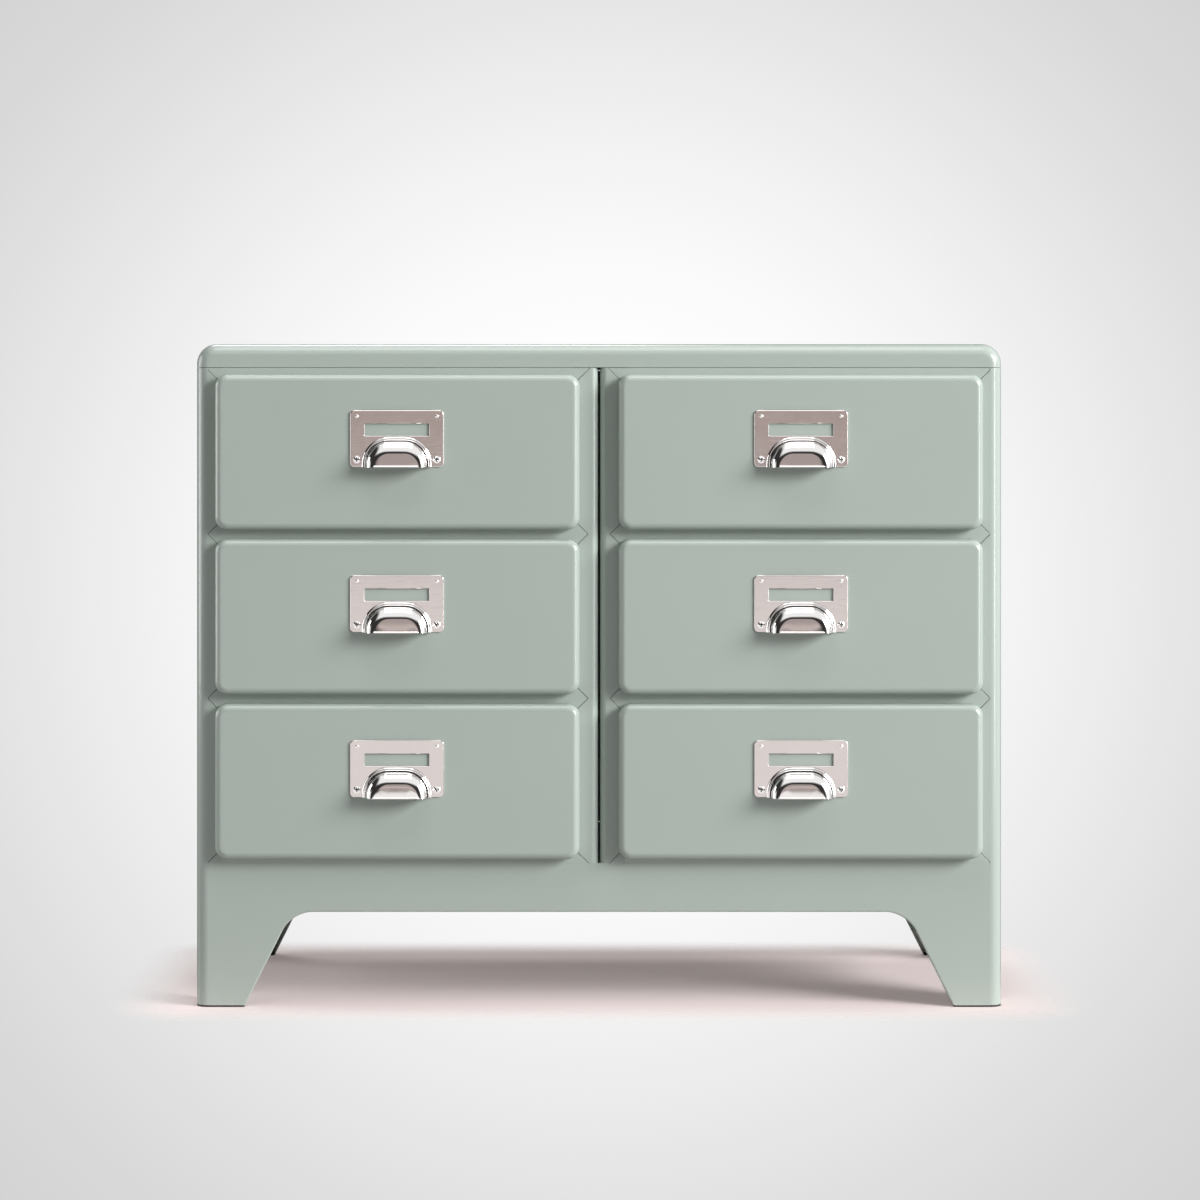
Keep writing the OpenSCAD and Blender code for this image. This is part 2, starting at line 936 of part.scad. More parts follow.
// One leg of the angle lies on the box and the other runs in the channel
module slide_angle() {
    translate([box_w / 2, 0, slide_z]) {
        cube([slide_t, slide_l, slide_leg]);
        cube([slide_reach, slide_l, slide_t]);
    }
}

module drawer_slides() {
    color(ZINC)
        both_sides()
            slide_angle();
}

// A block on the end of the slide that fills the channel and stops against the front glide
module rear_glide() {
    x = box_w / 2 + slide_t;
    difference() {
        translate([x, rear_glide_y, runner_z - runner_h / 2 + glide_gap])
            cube([slide_room - 2 * slide_t - glide_gap, glide_l, runner_h - 2 * glide_gap]);
        slide_angle();
    }
}

module drawer_glides() {
    color(NYLON)
        both_sides()
            rear_glide();
}

// Label holder and pull, drawn flat on the front of the drawer, from the middle of the drawer front

module on_front() {
    translate([0, -front_proud, front_h / 2])
        rotate([90, 0, 0])
            children();
}

module at_rivets() {
    for (s = [-1, 1])
        translate([s * fix_x, rivet_z, 0])
            children();
}

module at_screws() {
    for (s = [-1, 1])
        translate([s * fix_x, screw_z, 0])
            children();
}

module at_plate_fixings() {
    at_rivets()
        children();
    at_screws()
        children();
}

module label_plate() {
    slot_w = window_w + 2 * card_lap;
    slot_z = window_z - window_h / 2 - card_lap;
    color(NICKEL)
        on_front()
            difference() {
                linear_extrude(plate_t)
                    difference() {
                        translate([0, plate_z + plate_h / 2])
                            rounded_rect(plate_w, plate_h, plate_r);
                        translate([0, window_z])
                            square([window_w, window_h], center = true);
                    }
                // A card slides in behind the window from above
                translate([-slot_w / 2, slot_z, -EPS])
                    cube([slot_w, plate_h, card_slot + EPS]);
                at_plate_fixings()
                    translate([0, 0, -EPS])
                        cylinder(r = shank_r + shank_gap, h = plate_t + 2 * EPS);
            }
}

// The rim bead, the groove, the side wall and the rolled shoulder of the pull
module cup_section() {
    wall_r = cup_r - rim_w;
    difference() {
        union() {
            translate([wall_r - cup_t, 0])
                square([rim_w + cup_t, cup_t]);
            translate([cup_r - bead_r, cup_t])
                intersection() {
                    circle(bead_r);
                    translate([-cup_r, 0])
                        square([2 * cup_r, cup_r]);
                }
        }
        translate([0, -EPS])
            square([wall_r - cup_t, cup_d]);
    }
    translate([wall_r - cup_t, cup_t])
        square([cup_t, cup_d - shoulder_r - cup_t]);
    translate([wall_r - shoulder_r, cup_d - shoulder_r])
        quarter_ring(shoulder_r, cup_t);
}

module cup_pull() {
    face_w = cup_w - 2 * face_inset;
    color(CHROME)
        on_front()
            translate([0, plate_z, plate_t]) {
                sweep_arch(cup_w, cup_h, cup_r)
                    cup_section();
                translate([0, 0, cup_d - cup_t])
                    linear_extrude(cup_t)
                        arched_rect(face_w, cup_h - face_inset, cup_r - face_inset);
                translate([-face_w / 2, lip_r, cup_d - cup_t])
                    rotate([0, 90, 0])
                        cylinder(r = lip_r, h = face_w);
            }
}

module pull_screws() {
    stem = plate_t + plate_stem;
    color(CHROME)
        on_front()
            translate([0, 0, plate_t]) {
                at_rivets()
                    domed_fastener(rivet_head_r, rivet_head_h, shank_r, stem);
                at_screws()
                    domed_fastener(screw_head_r, screw_head_h, shank_r, stem);
            }
}

module drawer_piece(piece) {
    if (piece == "front")
        drawer_front();
    if (piece == "box")
        drawer_box();
    if (piece == "slides")
        drawer_slides();
    if (piece == "glides")
        drawer_glides();
    if (piece == "label_plate")
        label_plate();
    if (piece == "cup_pull")
        cup_pull();
    if (piece == "pull_screws")
        pull_screws();
}

top_cover();
left_side();
right_side();
left_inner_wall();
right_inner_wall();
back_panel();
front_skirt();
rear_skirt();
leg_panels();
floor_pan();
top_rails();
middle_rails();
bottom_rails();
left_runners();
right_runners();
runner_glides();
foot_pads();
back_screws();
for (c = COLUMNS, r = ROWS, p = DRAWER_PIECES)
    at_drawer(c, r) drawer_piece(p);
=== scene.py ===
"""Finished looks of a six-drawer sheet-steel cabinet, modelled around its packed frame.

The frame gives every place. The properties below give the radii, folds and colours of the sheet parts, drawer
fronts, label holders and cup pulls, and each operator models one piece or one group of like pieces.
"""

import json
import math

import bmesh
import bpy
from bpy.props import FloatProperty, FloatVectorProperty, PointerProperty
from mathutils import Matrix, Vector


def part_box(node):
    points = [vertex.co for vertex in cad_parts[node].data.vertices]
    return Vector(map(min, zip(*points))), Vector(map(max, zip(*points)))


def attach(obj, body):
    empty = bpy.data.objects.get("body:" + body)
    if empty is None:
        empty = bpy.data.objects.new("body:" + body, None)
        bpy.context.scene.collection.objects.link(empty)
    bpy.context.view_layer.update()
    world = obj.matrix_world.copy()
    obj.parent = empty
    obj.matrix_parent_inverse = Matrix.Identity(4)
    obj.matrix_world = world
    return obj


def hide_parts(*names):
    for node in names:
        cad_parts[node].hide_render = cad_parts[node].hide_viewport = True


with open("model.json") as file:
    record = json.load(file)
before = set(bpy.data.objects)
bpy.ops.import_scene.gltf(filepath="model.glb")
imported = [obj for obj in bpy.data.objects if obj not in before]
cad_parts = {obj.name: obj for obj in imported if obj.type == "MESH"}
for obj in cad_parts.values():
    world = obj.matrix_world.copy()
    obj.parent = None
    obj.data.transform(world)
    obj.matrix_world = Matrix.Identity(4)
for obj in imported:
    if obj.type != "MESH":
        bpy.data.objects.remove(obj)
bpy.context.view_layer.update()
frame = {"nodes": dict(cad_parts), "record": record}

bl_info = {
    "name": "Sheet-steel drawer cabinet",
    "version": (1, 0, 0),
    "blender": (4, 5, 0),
    "location": "3D View > Sidebar > Cabinet",
    "description": "Models and finishes a painted steel cabinet with six drawers and cup pulls",
    "category": "Object",
}

COLUMNS = {"left": -1, "right": 1}
ROWS = ("bottom", "middle", "top")
DRAWERS = [f"drawer_{column}_{row}" for row in ROWS for column in COLUMNS]

# Main planes of the cabinet, read from the frame
SIDE_LOW, SIDE_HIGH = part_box("right_side")
EDGE_X = SIDE_HIGH.x
FACE_Y = SIDE_LOW.y
BACK_Y = SIDE_HIGH.y
MIDDLE_Y = (FACE_Y + BACK_Y) / 2
SHEET_FOOT = SIDE_LOW.z
FRAME_TOP = SIDE_HIGH.z
BASE_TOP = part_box("front_skirt")[1].z
SLIT_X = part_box("right_inner_wall")[0].x
INNER_BACK_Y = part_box("right_inner_wall")[1].y
FRONT_LOW, FRONT_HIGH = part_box("drawer_right_bottom_front")

# The finish of each material slot
FINISH_OF = {
    "sage_paint": "sage_enamel",
    "inside_paint": "inside_enamel",
    "zinc_steel": "zinc_plate",
    "nickel_plate": "satin_nickel",
    "chrome_plate": "polished_chrome",
    "nylon": "natural_nylon",
    "black_plastic": "moulded_black",
}

# Height of a rivet's or screw's head and reach of a screw's slots, as shares of the head's radius
HEAD_DOME = 0.3
SLOT_REACH = 0.62

# Rounding of the lip's ends, as a share of its radius, and tilt of the cup's face at its edge and at the lip
LIP_ROUND = 0.7
FACE_TILT = 87
LIP_TILT = 88.5

# Edges that turn by more than this are sharp
SHARP = math.radians(50)

# Colours of the surroundings, drop of the backdrop's middle, and radius and glow of the floor
WHITE = (1.0, 1.0, 1.0, 1.0)
BLUSH = (1.0, 0.975, 0.965, 1.0)
DARK = (0.035, 0.032, 0.032, 1.0)
RIM_GREY = (0.6425, 0.6425, 0.6425, 1.0)
FAR_GREY = (0.88, 0.87, 0.87, 1.0)
LOW_BAND = (0.32, 0.27, 0.255, 1.0)
MIDDLE_BAND = (0.62, 0.53, 0.50, 1.0)
HIGH_BAND = (0.42, 0.36, 0.34, 1.0)
VIEW_DROP = 0.05
FLOOR_R = 3.0
FLOOR_GLOW = 0.2


def length(name, description, default):
    return FloatProperty(name=name, description=description, default=default, unit="LENGTH", precision=5)


def colour(name, description, default):
    return FloatVectorProperty(
        name=name, description=description, default=default, subtype="COLOR", size=3, min=0, max=1
    )


def number(name, description, default):
    return FloatProperty(name=name, description=description, default=default)


def lamp_power(lamp, default):
    words = f"Power of the {lamp.lower()} lamp"
    return FloatProperty(name=f"{lamp} power", description=words, default=default, unit="POWER")


def spot(name, description, default):
    return FloatVectorProperty(name=name, description=description, default=default, subtype="TRANSLATION")


def lamp_size(lamp, default):
    words = f"Width and height of the {lamp.lower()} lamp"
    return FloatVectorProperty(name=f"{lamp} size", description=words, default=default, size=2, unit="LENGTH")


class CabinetSheetSizes(bpy.types.PropertyGroup):
    """Folds and radii of the cabinet's sheet parts"""

    sheet_t: length("Sheet", "Thickness of the body sheet", 0.0012)
    corner_r: length("Corner radius", "Radius of the upright corners and of the cover's front edge", 0.0135)
    top_edge_r: length("Top edge radius", "Radius over the left and right edges of the cover", 0.022)
    slit_edge_r: length("Slit edge radius", "Radius of the stile edges along the slit", 0.008)
    bend_r: length("Bend radius", "Radius of a sharp fold", 0.0018)
    cut_edge_r: length("Cut edge radius", "Softening of the cut edges", 0.00035)
    seam: length("Seam", "Gap between neighbouring sheet parts", 0.0004)
    stile_fold: length("Stile fold", "Depth of the fold along the inner edge of the stiles", 0.012)
    rear_flange: length("Rear flange", "Width of the flanges at the back edges of the walls", 0.024)
    rail_d: length("Rail depth", "Depth of the folded rails", 0.014)
    lap_x: length("Side lap", "Distance that a drawer front laps over its opening at each side", 0.007)
    lap_z: length("Upper lap", "Distance that a drawer front laps over its opening above and below", 0.0107)
    arch_h: length("Arch height", "Height of the arches between the legs", 0.106)
    foot_w: length("Foot width", "Width of a leg at the floor", 0.054)
    arch_r: length("Arch radius", "Radius where a leg runs into its arch", 0.037)
    arch_flange: length("Arch fold", "Depth of the fold along the arches", 0.012)
    skirt_ledge: length("Skirt ledge", "Depth of the ledge along the top of the skirts", 0.026)
    pad_w: length("Pad width", "Width of the foot pads across the sheet", 0.015)
    leg_slope: number("Leg slope", "Run of a leg's inner edge per unit of height", 0.5)


class CabinetDrawerSizes(bpy.types.PropertyGroup):
    """Folds and radii of the drawers"""

    drawer_t: length("Drawer sheet", "Thickness of the drawer sheet", 0.001)
    front_edge_r: length("Front edge radius", "Radius of the front's edges", 0.008)
    front_corner_r: length("Front corner radius", "Radius of the front's corners", 0.014)
    front_flange: length("Front flange", "Width of the flange folded in behind a front", 0.026)
    box_bend_r: length("Box bend radius", "Bend radius along the bottom of a drawer box", 0.003)
    box_rim: length("Box rim", "Width of the rim folded in around a drawer box", 0.006)
    rim_bend_r: length("Rim bend radius", "Bend radius along that rim", 0.0015)


class CabinetPullSizes(bpy.types.PropertyGroup):
    """Label holder, cup pull and their fasteners"""

    plate_r: length("Plate corner radius", "Corner radius of the plate", 0.0045)
    plate_edge_r: length("Plate edge radius", "Radius of the plate's edges", 0.0009)
    window_edge_r: length("Window edge radius", "Radius of the window's edges", 0.0003)
    window_w: length("Window width", "Width of the card window", 0.072)
    window_h: length("Window height", "Height of the card window", 0.014)
    window_drop: length("Window drop", "Distance from the plate's top to the window", 0.0145)
    window_r: length("Window corner radius", "Corner radius of the window", 0.0006)
    card_slot: length("Card slot", "Depth of the slot behind the window", 0.0009)
    card_lap: length("Card lap", "Distance that the plate laps over a card", 0.002)
    cup_r: length("Cup corner radius", "Radius of the cup's upper corners", 0.029)
    cup_t: length("Cup sheet", "Thickness of the cup", 0.0012)
    bead_r: length("Bead radius", "Radius of the bead around the cup", 0.0022)
    groove_w: length("Groove width", "Width of the groove inside the bead", 0.0007)
    cup_crown: length("Cup crown", "Height that the top of the cup gains towards its middle", 0.0016)
    shoulder_r: length("Shoulder radius", "Radius of the cup's shoulder", 0.009)
    shoulder_drop: length("Shoulder drop", "Length that the shoulder gains at the top", 0.0058)
    face_r: length("Face radius", "Radius of the gentle swell around the cup's face", 0.5)
    lip_proud: length("Lip height", "Distance that the rolled lip stands proud of the cup's face", 0.0005)
    lip_r: length("Lip radius", "Radius of the rolled lower edge of the cup", 0.0009)
    fix_x: length("Fastener inset", "Distance from the plate's sides to its rivets and screws", 0.0076)
    fix_top: length("Rivet drop", "Distance from the plate's top to its rivets", 0.0065)
    fix_bottom: length("Screw rise", "Distance from the plate's bottom to its screws", 0.0082)
    rivet_r: length("Rivet radius", "Radius of the rivet heads", 0.0019)
    screw_r: length("Screw radius", "Radius of the screw heads", 0.0041)
    slot_w: length("Screw slot", "Width of the cross slots in the screw heads", 0.0011)


class CabinetColours(bpy.types.PropertyGroup):
    """Colours of the finishes"""

    sage: colour("Sage enamel", "Outside paint", (0.400, 0.458, 0.418))
    inside: colour("Inside enamel", "Paint of the drawer boxes, the floor and the back", (0.35, 0.405, 0.36))
    zinc: colour("Zinc", "Plating of the runners, slides and back screws", (0.55, 0.57, 0.59))
    nickel: colour("Nickel", "Plating of the label holders", (0.70, 0.645, 0.63))
    chrome: colour("Chrome", "Plating of the cup pulls", (0.86, 0.84, 0.835))
    # Near-black colour painted into the groove of each cup pull and the floors of the screw slots: painted
    # shade
    painted_shade: colour("Film", "Dull film in the grooves of the pulls and screws", (0.014, 0.011, 0.011))
    nylon: colour("Nylon", "Glides", (0.74, 0.71, 0.63))
    rubber: colour("Black plastic", "Foot pads", (0.018, 0.018, 0.019))
    floor: colour("Floor", "Pale studio floor", (0.88, 0.76, 0.75))


class CabinetStage(bpy.types.PropertyGroup):
    """Camera and studio"""

    camera: spot("Camera", "Place of the camera, which looks level", (0.0011, -4.111, 0.68))
    lens: number("Lens", "Focal length in millimetres", 105.9)
    drop: number("Lens shift", "Share of the frame that the view is shifted down", 0.1685)
    key: spot("Key light", "Place of the large lamp at the right", (5.88, -3.51, 3.13))
    key_size: lamp_size("Key", (3.6, 2.6))
    key_power: lamp_power("Key", 720)
    strip: spot("Strip light", "Place of the tall lamp at the right", (4.5, -3.2, 0.7))
    strip_size: lamp_size("Strip", (0.5, 1.9))
    strip_power: lamp_power("Strip", 42)
    top: spot("Top light", "Place of the lamp overhead", (0.0, -1.0, 4.0))
    top_size: lamp_size("Top", (2.2, 2.2))
    top_power: lamp_power("Top", 44)
    side: spot("Side light", "Place of the lamp beside the left wall", (-2.6, 0.0, 0.9))
    side_size: lamp_size("Side", (1.5, 1.5))
    side_power: lamp_power("Side", 25)
    back: spot("Back light", "Place of the lamp behind the cabinet", (-0.6, 1.9, 3.4))
    back_size: lamp_size("Back", (1.6, 1.6))
    back_power: lamp_power("Back", 36)
    sky: number("Sky", "Strength of the even light from above", 0.13)
    glow: number("Glow", "Strength of the light that the floor throws back", 0.38)


# Selection by place. A place maps an axis to a coordinate or to a (low, high) range
# The axis "ax" is the distance from x = 0

NEAR = 2e-5
AXES = {"x": lambda p: p.x, "y": lambda p: p.y, "z": lambda p: p.z, "ax": lambda p: abs(p.x)}


def between(a, b):
    return (min(a, b), max(a, b))


def lies(point, place):
    for axis, wanted in place.items():
        low, high = wanted if isinstance(wanted, tuple) else (wanted, wanted)
        if not low - NEAR <= AXES[axis](point) <= high + NEAR:
            return False
    return True


def runs_along(edge, axis):
    run = edge.verts[1].co - edge.verts[0].co
    return abs(AXES[axis](run)) > 0.999 * run.length


def pick(kind, along=None, drop=None, **place):
    """Selects the vertices, edges or faces that lie at a place with all their corners.

    Edges may be kept to those along some axes, such as "xy".
    What lies at the place called drop is left out.
    """
    bpy.ops.mesh.select_mode(type=kind)
    bpy.ops.mesh.select_all(action="DESELECT")
    piece = bpy.context.object
    mesh = bmesh.from_edit_mesh(piece.data)
    found = 0
    for part in {"VERT": mesh.verts, "EDGE": mesh.edges, "FACE": mesh.faces}[kind]:
        points = [part.co] if kind == "VERT" else [v.co for v in part.verts]
        wanted = all(lies(p, place) for p in points)
        if wanted and along:
            wanted = any(runs_along(part, axis) for axis in along)
        if wanted and drop:
            wanted = not all(lies(p, drop) for p in points)
        if wanted:
            part.select_set(True)
            found += 1
    if not found:
        raise RuntimeError(f"{piece.name} has no {kind.lower()} at {place}")
    mesh.select_flush_mode()
    bmesh.update_edit_mesh(piece.data)


# Modelling steps


def only(piece):
    """Makes a piece the one selected and active object."""
    if bpy.context.object and bpy.context.object.mode != "OBJECT":
        bpy.ops.object.mode_set(mode="OBJECT")
    bpy.ops.object.select_all(action="DESELECT")
    if piece:
        piece.select_set(True)
        bpy.context.view_layer.objects.active = piece


def rename(piece, name):
    piece.name = name
    piece.data.name = name
    return piece


def start(name, primitive, scale=(1, 1, 1), **options):
    """Adds a primitive at its size and place and opens it in edit mode."""
    only(None)
    getattr(bpy.ops.mesh, f"primitive_{primitive}_add")(**options)
    piece = bpy.context.object
    piece.scale = scale
    bpy.ops.object.transform_apply(location=True, rotation=True, scale=True)
    bpy.ops.object.mode_set(mode="EDIT")
    return rename(piece, name)


def start_block(name, low, high):
    low, high = Vector(low), Vector(high)
    return start(name, "cube", size=1, location=(low + high) / 2, scale=high - low)


def start_panel(name, x, y, z, facing=-1):
    """A flat panel between two x and two z values, which faces the front, or the back if facing is 1."""
    centre = ((x[0] + x[1]) / 2, y, (z[0] + z[1]) / 2)
    turn = (-facing * math.pi / 2, 0, 0)
    return start(name, "plane", size=1, location=centre, rotation=turn, scale=(x[1] - x[0], z[1] - z[0], 1))


def move(x=0, y=0, z=0):
    bpy.ops.transform.translate(value=(x, y, z))


def extrude(x=0, y=0, z=0):
    bpy.ops.mesh.extrude_region_move(TRANSFORM_OT_translate={"value": (x, y, z)})


def pick_all():
    bpy.ops.mesh.select_all(action="SELECT")


def fill_out(**way):
    """Extrudes the whole open outline into a solid with its faces outwards."""
    pick_all()
    extrude(**way)
    pick_all()
    bpy.ops.mesh.normals_make_consistent(inside=False)


def delete_faces(**place):
    pick("FACE", **place)
    bpy.ops.mesh.delete(type="FACE")


def round_edges(radius, steps, **place):
    """Rounds the edges at a place, or those selected."""
    if place:
        pick("EDGE", **place)
    bpy.ops.mesh.bevel(offset=radius, segments=steps, profile=0.5, affect="EDGES", clamp_overlap=False)


def round_corners(reach, steps, **place):
    """Rounds the corners at a place, or those selected."""
    if place:
        pick("VERT", **place)
    bpy.ops.mesh.bevel(offset=reach, segments=steps, profile=0.5, affect="VERTICES", clamp_overlap=False)


def rise(steps):
    """Steps the selected face, which faces the front, along a section of (offset, height) pairs."""
    for (offset, height), (next_offset, next_height) in zip(steps, steps[1:]):
        if next_offset - offset < NEAR:
            extrude(y=height - next_height)
        else:
            bpy.ops.mesh.inset(thickness=next_offset - offset, depth=next_height - height)


def arc(radius, start_angle, end_angle, steps):
    """Points (1 - cos, sin) of an arc, from one angle in degrees to another."""
    angles = [math.radians(start_angle + (end_angle - start_angle) * i / steps) for i in range(steps + 1)]
    return [(radius * (1 - math.cos(a)), radius * math.sin(a)) for a in angles]


def modify(kind, **settings):
    """Adds a modifier to the active piece and applies it."""
    piece = bpy.context.object
    modifier = piece.modifiers.new(kind.title(), kind)
    for key, value in settings.items():
        setattr(modifier, key, value)
    bpy.ops.object.modifier_apply(modifier=modifier.name)


def thicken(piece, thickness):
    """Gives a folded surface its thickness, behind its outer face."""
    only(piece)
    modify("SOLIDIFY", thickness=thickness, offset=-1, use_even_offset=True, use_quality_normals=True)


def soften(piece, radius=0.0, steps=2, flush=()):
    """Rounds the sharp edges, but not those at the flush places, and evens out the shading."""
    only(piece)
    if radius:
        bpy.ops.object.mode_set(mode="EDIT")
        bpy.ops.mesh.select_mode(type="EDGE")
        bpy.ops.mesh.select_all(action="DESELECT")
        bpy.ops.mesh.edges_select_sharp(sharpness=SHARP)
        mesh = bmesh.from_edit_mesh(piece.data)
        for edge in mesh.edges:
            if edge.select and any(all(lies(v.co, place) for v in edge.verts) for place in flush):
                edge.select_set(False)
        mesh.select_flush_mode()
        round_edges(radius, steps)
        bpy.ops.object.mode_set(mode="OBJECT")
    bpy.ops.object.shade_smooth_by_angle(angle=SHARP)
    modify("WEIGHTED_NORMAL", keep_sharp=True)


def cut(piece, cutter):
    """Takes a cutter out of a piece."""
    only(piece)
    modify("BOOLEAN", operation="DIFFERENCE", object=cutter, solver="EXACT")
    bpy.data.objects.remove(cutter)


def join(name, pieces):
    only(pieces[0])
    for piece in pieces:
        piece.select_set(True)
    if len(pieces) > 1:
        bpy.ops.object.join()
    return rename(bpy.context.object, name)


def copy_to(piece, name, offset):
    """A copy of a piece with its own mesh, moved by an offset."""
    only(piece)
    bpy.ops.object.duplicate(linked=False)
    bpy.ops.transform.translate(value=offset)
    bpy.ops.object.transform_apply(location=True, rotation=False, scale=False)
    return rename(bpy.context.object, name)


def paint(piece, finish, **place):
    """Gives the faces at a place a finish of their own, in a second material slot."""
    only(piece)
    while len(piece.material_slots) < 2:
        bpy.ops.object.material_slot_add()
    piece.material_slots[1].material = bpy.data.materials[finish]
    piece.active_material_index = 1
    bpy.ops.object.mode_set(mode="EDIT")
    pick("FACE", **place)
    bpy.ops.object.material_slot_assign()
    bpy.ops.object.mode_set(mode="OBJECT")


def dress(piece, body, slot, *nodes):
    """Gives a finished piece the finish of a material slot, puts it under its body and hides the nodes that
    it takes the place of.
    """
    if not piece.material_slots:
        piece.data.materials.append(None)
    piece.material_slots[0].material = bpy.data.materials[FINISH_OF[slot]]
    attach(piece, body)
    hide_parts(*nodes)


def drawer_offset(drawer):
    """From the middle of a drawer front's lower edge at x = 0, z = 0 to that drawer's place."""
    low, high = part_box(f"{drawer}_front")
    return Vector(((low.x + high.x) / 2, 0, low.z))


def drawer_box(part):
    """The low and the high corner of a drawer's part, for a drawer at x = 0, z = 0."""
    offset = drawer_offset(DRAWERS[0])
    return [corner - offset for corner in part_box(f"{DRAWERS[0]}_{part}")]


def dress_drawers(model, part, slot):
    """Copies a piece that was modelled for a drawer at x = 0, z = 0 to all six drawers."""
    for drawer in DRAWERS:
        piece = copy_to(model, f"{drawer}_{part}_shell", drawer_offset(drawer))
        dress(piece, drawer, slot, f"{drawer}_{part}")
    bpy.data.objects.remove(model)


# Shader maths


def maths(operation, swapped=False):
    """A method that adds a Math node for a tone and another tone or number."""

    def method(self, other=0):
        first, second = (other, self) if swapped else (self, other)
        return self.board.node("Math", {"operation": operation}, {0: first, 1: second})

    return method


class Tone:
    """A socket of a finish. Sums, differences, products and powers of tones and numbers add Math nodes."""

    def __init__(self, board, socket):
        self.board = board
        self.socket = socket

    __add__ = maths("ADD")
    __radd__ = maths("ADD", swapped=True)
    __sub__ = maths("SUBTRACT")
    __rsub__ = maths("SUBTRACT", swapped=True)
    __mul__ = maths("MULTIPLY")
    __rmul__ = maths("MULTIPLY", swapped=True)
    __pow__ = maths("POWER")
    __abs__ = maths("ABSOLUTE")
    at_least = maths("MAXIMUM")

    def limit(self, low, high):
        """This tone's way from low to high, from 0 to 1."""
        inputs = {"Value": self, "From Min": low, "From Max": high}
        return self.board.node("MapRange", {"interpolation_type": "SMOOTHSTEP"}, inputs)


class Board:
    """A node tree to which nodes are added."""

    def __init__(self, owner):
        owner.use_nodes = True
        self.tree = owner.node_tree
        self.tree.nodes.clear()

    def node(self, kind, settings=None, inputs=None, output=0):
        """Adds a node, with its settings first and then its sockets, and returns one of its outputs."""
        made = self.tree.nodes.new(f"ShaderNode{kind}")
        for name, value in (settings or {}).items():
            setattr(made, name, value)
        for name, value in (inputs or {}).items():
            socket = made.inputs[name]
            if isinstance(value, Tone):
                self.tree.links.new(value.socket, socket)
            else:
                socket.default_value = value
        return Tone(self, made.outputs[output]) if made.outputs else None

    def parts(self, vector):
        """The x, y and z of a vector."""
        split = self.node("SeparateXYZ", {}, {0: vector}).socket.node
        return [Tone(self, socket) for socket in split.outputs]

    def noise(self, place, scale, detail):
        return self.node("TexNoise", {}, {"Vector": place, "Scale": scale, "Detail": detail})

    def stretched(self, place, scale):
        """The place with each axis scaled, for streaks."""
        return self.node("Mapping", {}, {"Vector": place, "Scale": scale})

    def mix(self, factor, first, second):
        """A colour between two colours."""
        return self.node("Mix", {"data_type": "RGBA"}, {0: factor, 6: first, 7: second}, output=2)

    def bump(self, height, distance):
        return self.node("Bump", {}, {"Height": height, "Distance": distance, "Strength": 1.0})


def distance(first, second):
    return (first * first + second * second) ** 0.5


def shade_of(rgb, factor):
    return tuple(min(1.0, c * factor) for c in rgb) + (1.0,)


def new_finish(name):
    """An empty finish and the object's own coordinates in it."""
    board = Board(bpy.data.materials.new(name))
    return board, board.node("TexCoord", output="Object")


def close_finish(board, **inputs):
    """Ends a finish with a Principled shader."""
    named = {key.replace("_", " ").title(): value for key, value in inputs.items()}
    surface = board.node("BsdfPrincipled", {}, named)
    board.node("OutputMaterial", {}, {"Surface": surface})


def enamel(name, rgb, roughness, coat):
    """Sprayed and baked paint: faint clouds in the colour and orange peel in the gloss."""
    board, place = new_finish(name)
    clouds = board.noise(place, scale=7.0, detail=3.0)
    peel = board.noise(place, scale=330.0, detail=1.0)
    grain = board.noise(place, scale=2400.0, detail=1.0)
    spread = 0.04
    close_finish(
        board,
        base_color=board.mix(clouds, shade_of(rgb, 0.98), shade_of(rgb, 1.02)),
        roughness=roughness + spread * (clouds - 0.5) + spread * (peel - 0.5),
        coat_weight=coat,
        coat_roughness=0.12,
        normal=board.bump(peel + 0.12 * grain, distance=0.000012),
    )


def grained(name, rgb, tints, clouds, rough, grain=None, detail=2.0, relief=0.0, metallic=0.0):
    """A finish with clouds in its colour and, where it has one, a grain in its gloss and relief.

    tints: shades of the darkest and the lightest clouds; clouds: scale and detail of their noise
    rough: least roughness and what the clouds and the grain add; grain: its scale along x, y and z
    """
    board, place = new_finish(name)
    cloud = board.noise(place, *clouds)
    looks = {"base_color": board.mix(cloud, *(shade_of(rgb, tint) for tint in tints)), "metallic": metallic}
    roughness = rough[0] + rough[1] * cloud
    if grain:
        fine = board.noise(board.stretched(place, grain), 1.0, detail)
        roughness = roughness + rough[2] * fine
        looks["normal"] = board.bump(fine, relief)
    close_finish(board, roughness=roughness, **looks)


# Folded sheet parts


def cut_arch(sizes, axis, low, high, span, plane):
    """Reshapes a sheet's lower edge between low and high into two feet and an arch with round corners."""
    feet = span / 2 - sizes.leg_slope * SHEET_FOOT
    crown = span / 2 - sizes.leg_slope * sizes.arch_h
    middle = (low + high) / 2
    targets = [(-feet, SHEET_FOOT), (-crown, sizes.arch_h), (crown, sizes.arch_h), (feet, SHEET_FOOT)]
    pick("EDGE", along=axis, z=SHEET_FOOT, **plane)
    bpy.ops.mesh.subdivide(number_cuts=len(targets))
    for i, (along, height) in enumerate(targets, 1):
        now = low + (high - low) * i / (len(targets) + 1)
        pick("VERT", z=SHEET_FOOT, **plane, **{axis: now})
        move(**{axis: middle + along - now, "z": height - SHEET_FOOT})
    turn = math.pi / 2 - math.atan(sizes.leg_slope)
    pick("VERT", z=sizes.arch_h, **plane, **{axis: between(middle - crown, middle + crown)})
    round_corners(sizes.arch_r * math.tan(turn / 2), steps=14)
    return {axis: between(middle - feet, middle + feet), "z": between(SHEET_FOOT, sizes.arch_h), **plane}


def fold_arch(sizes, arch, **inwards):
    """Folds the sheet back along an arch."""
    pick("EDGE", **arch)
    extrude(**inwards)
    round_edges(sizes.bend_r, steps=4, **arch)


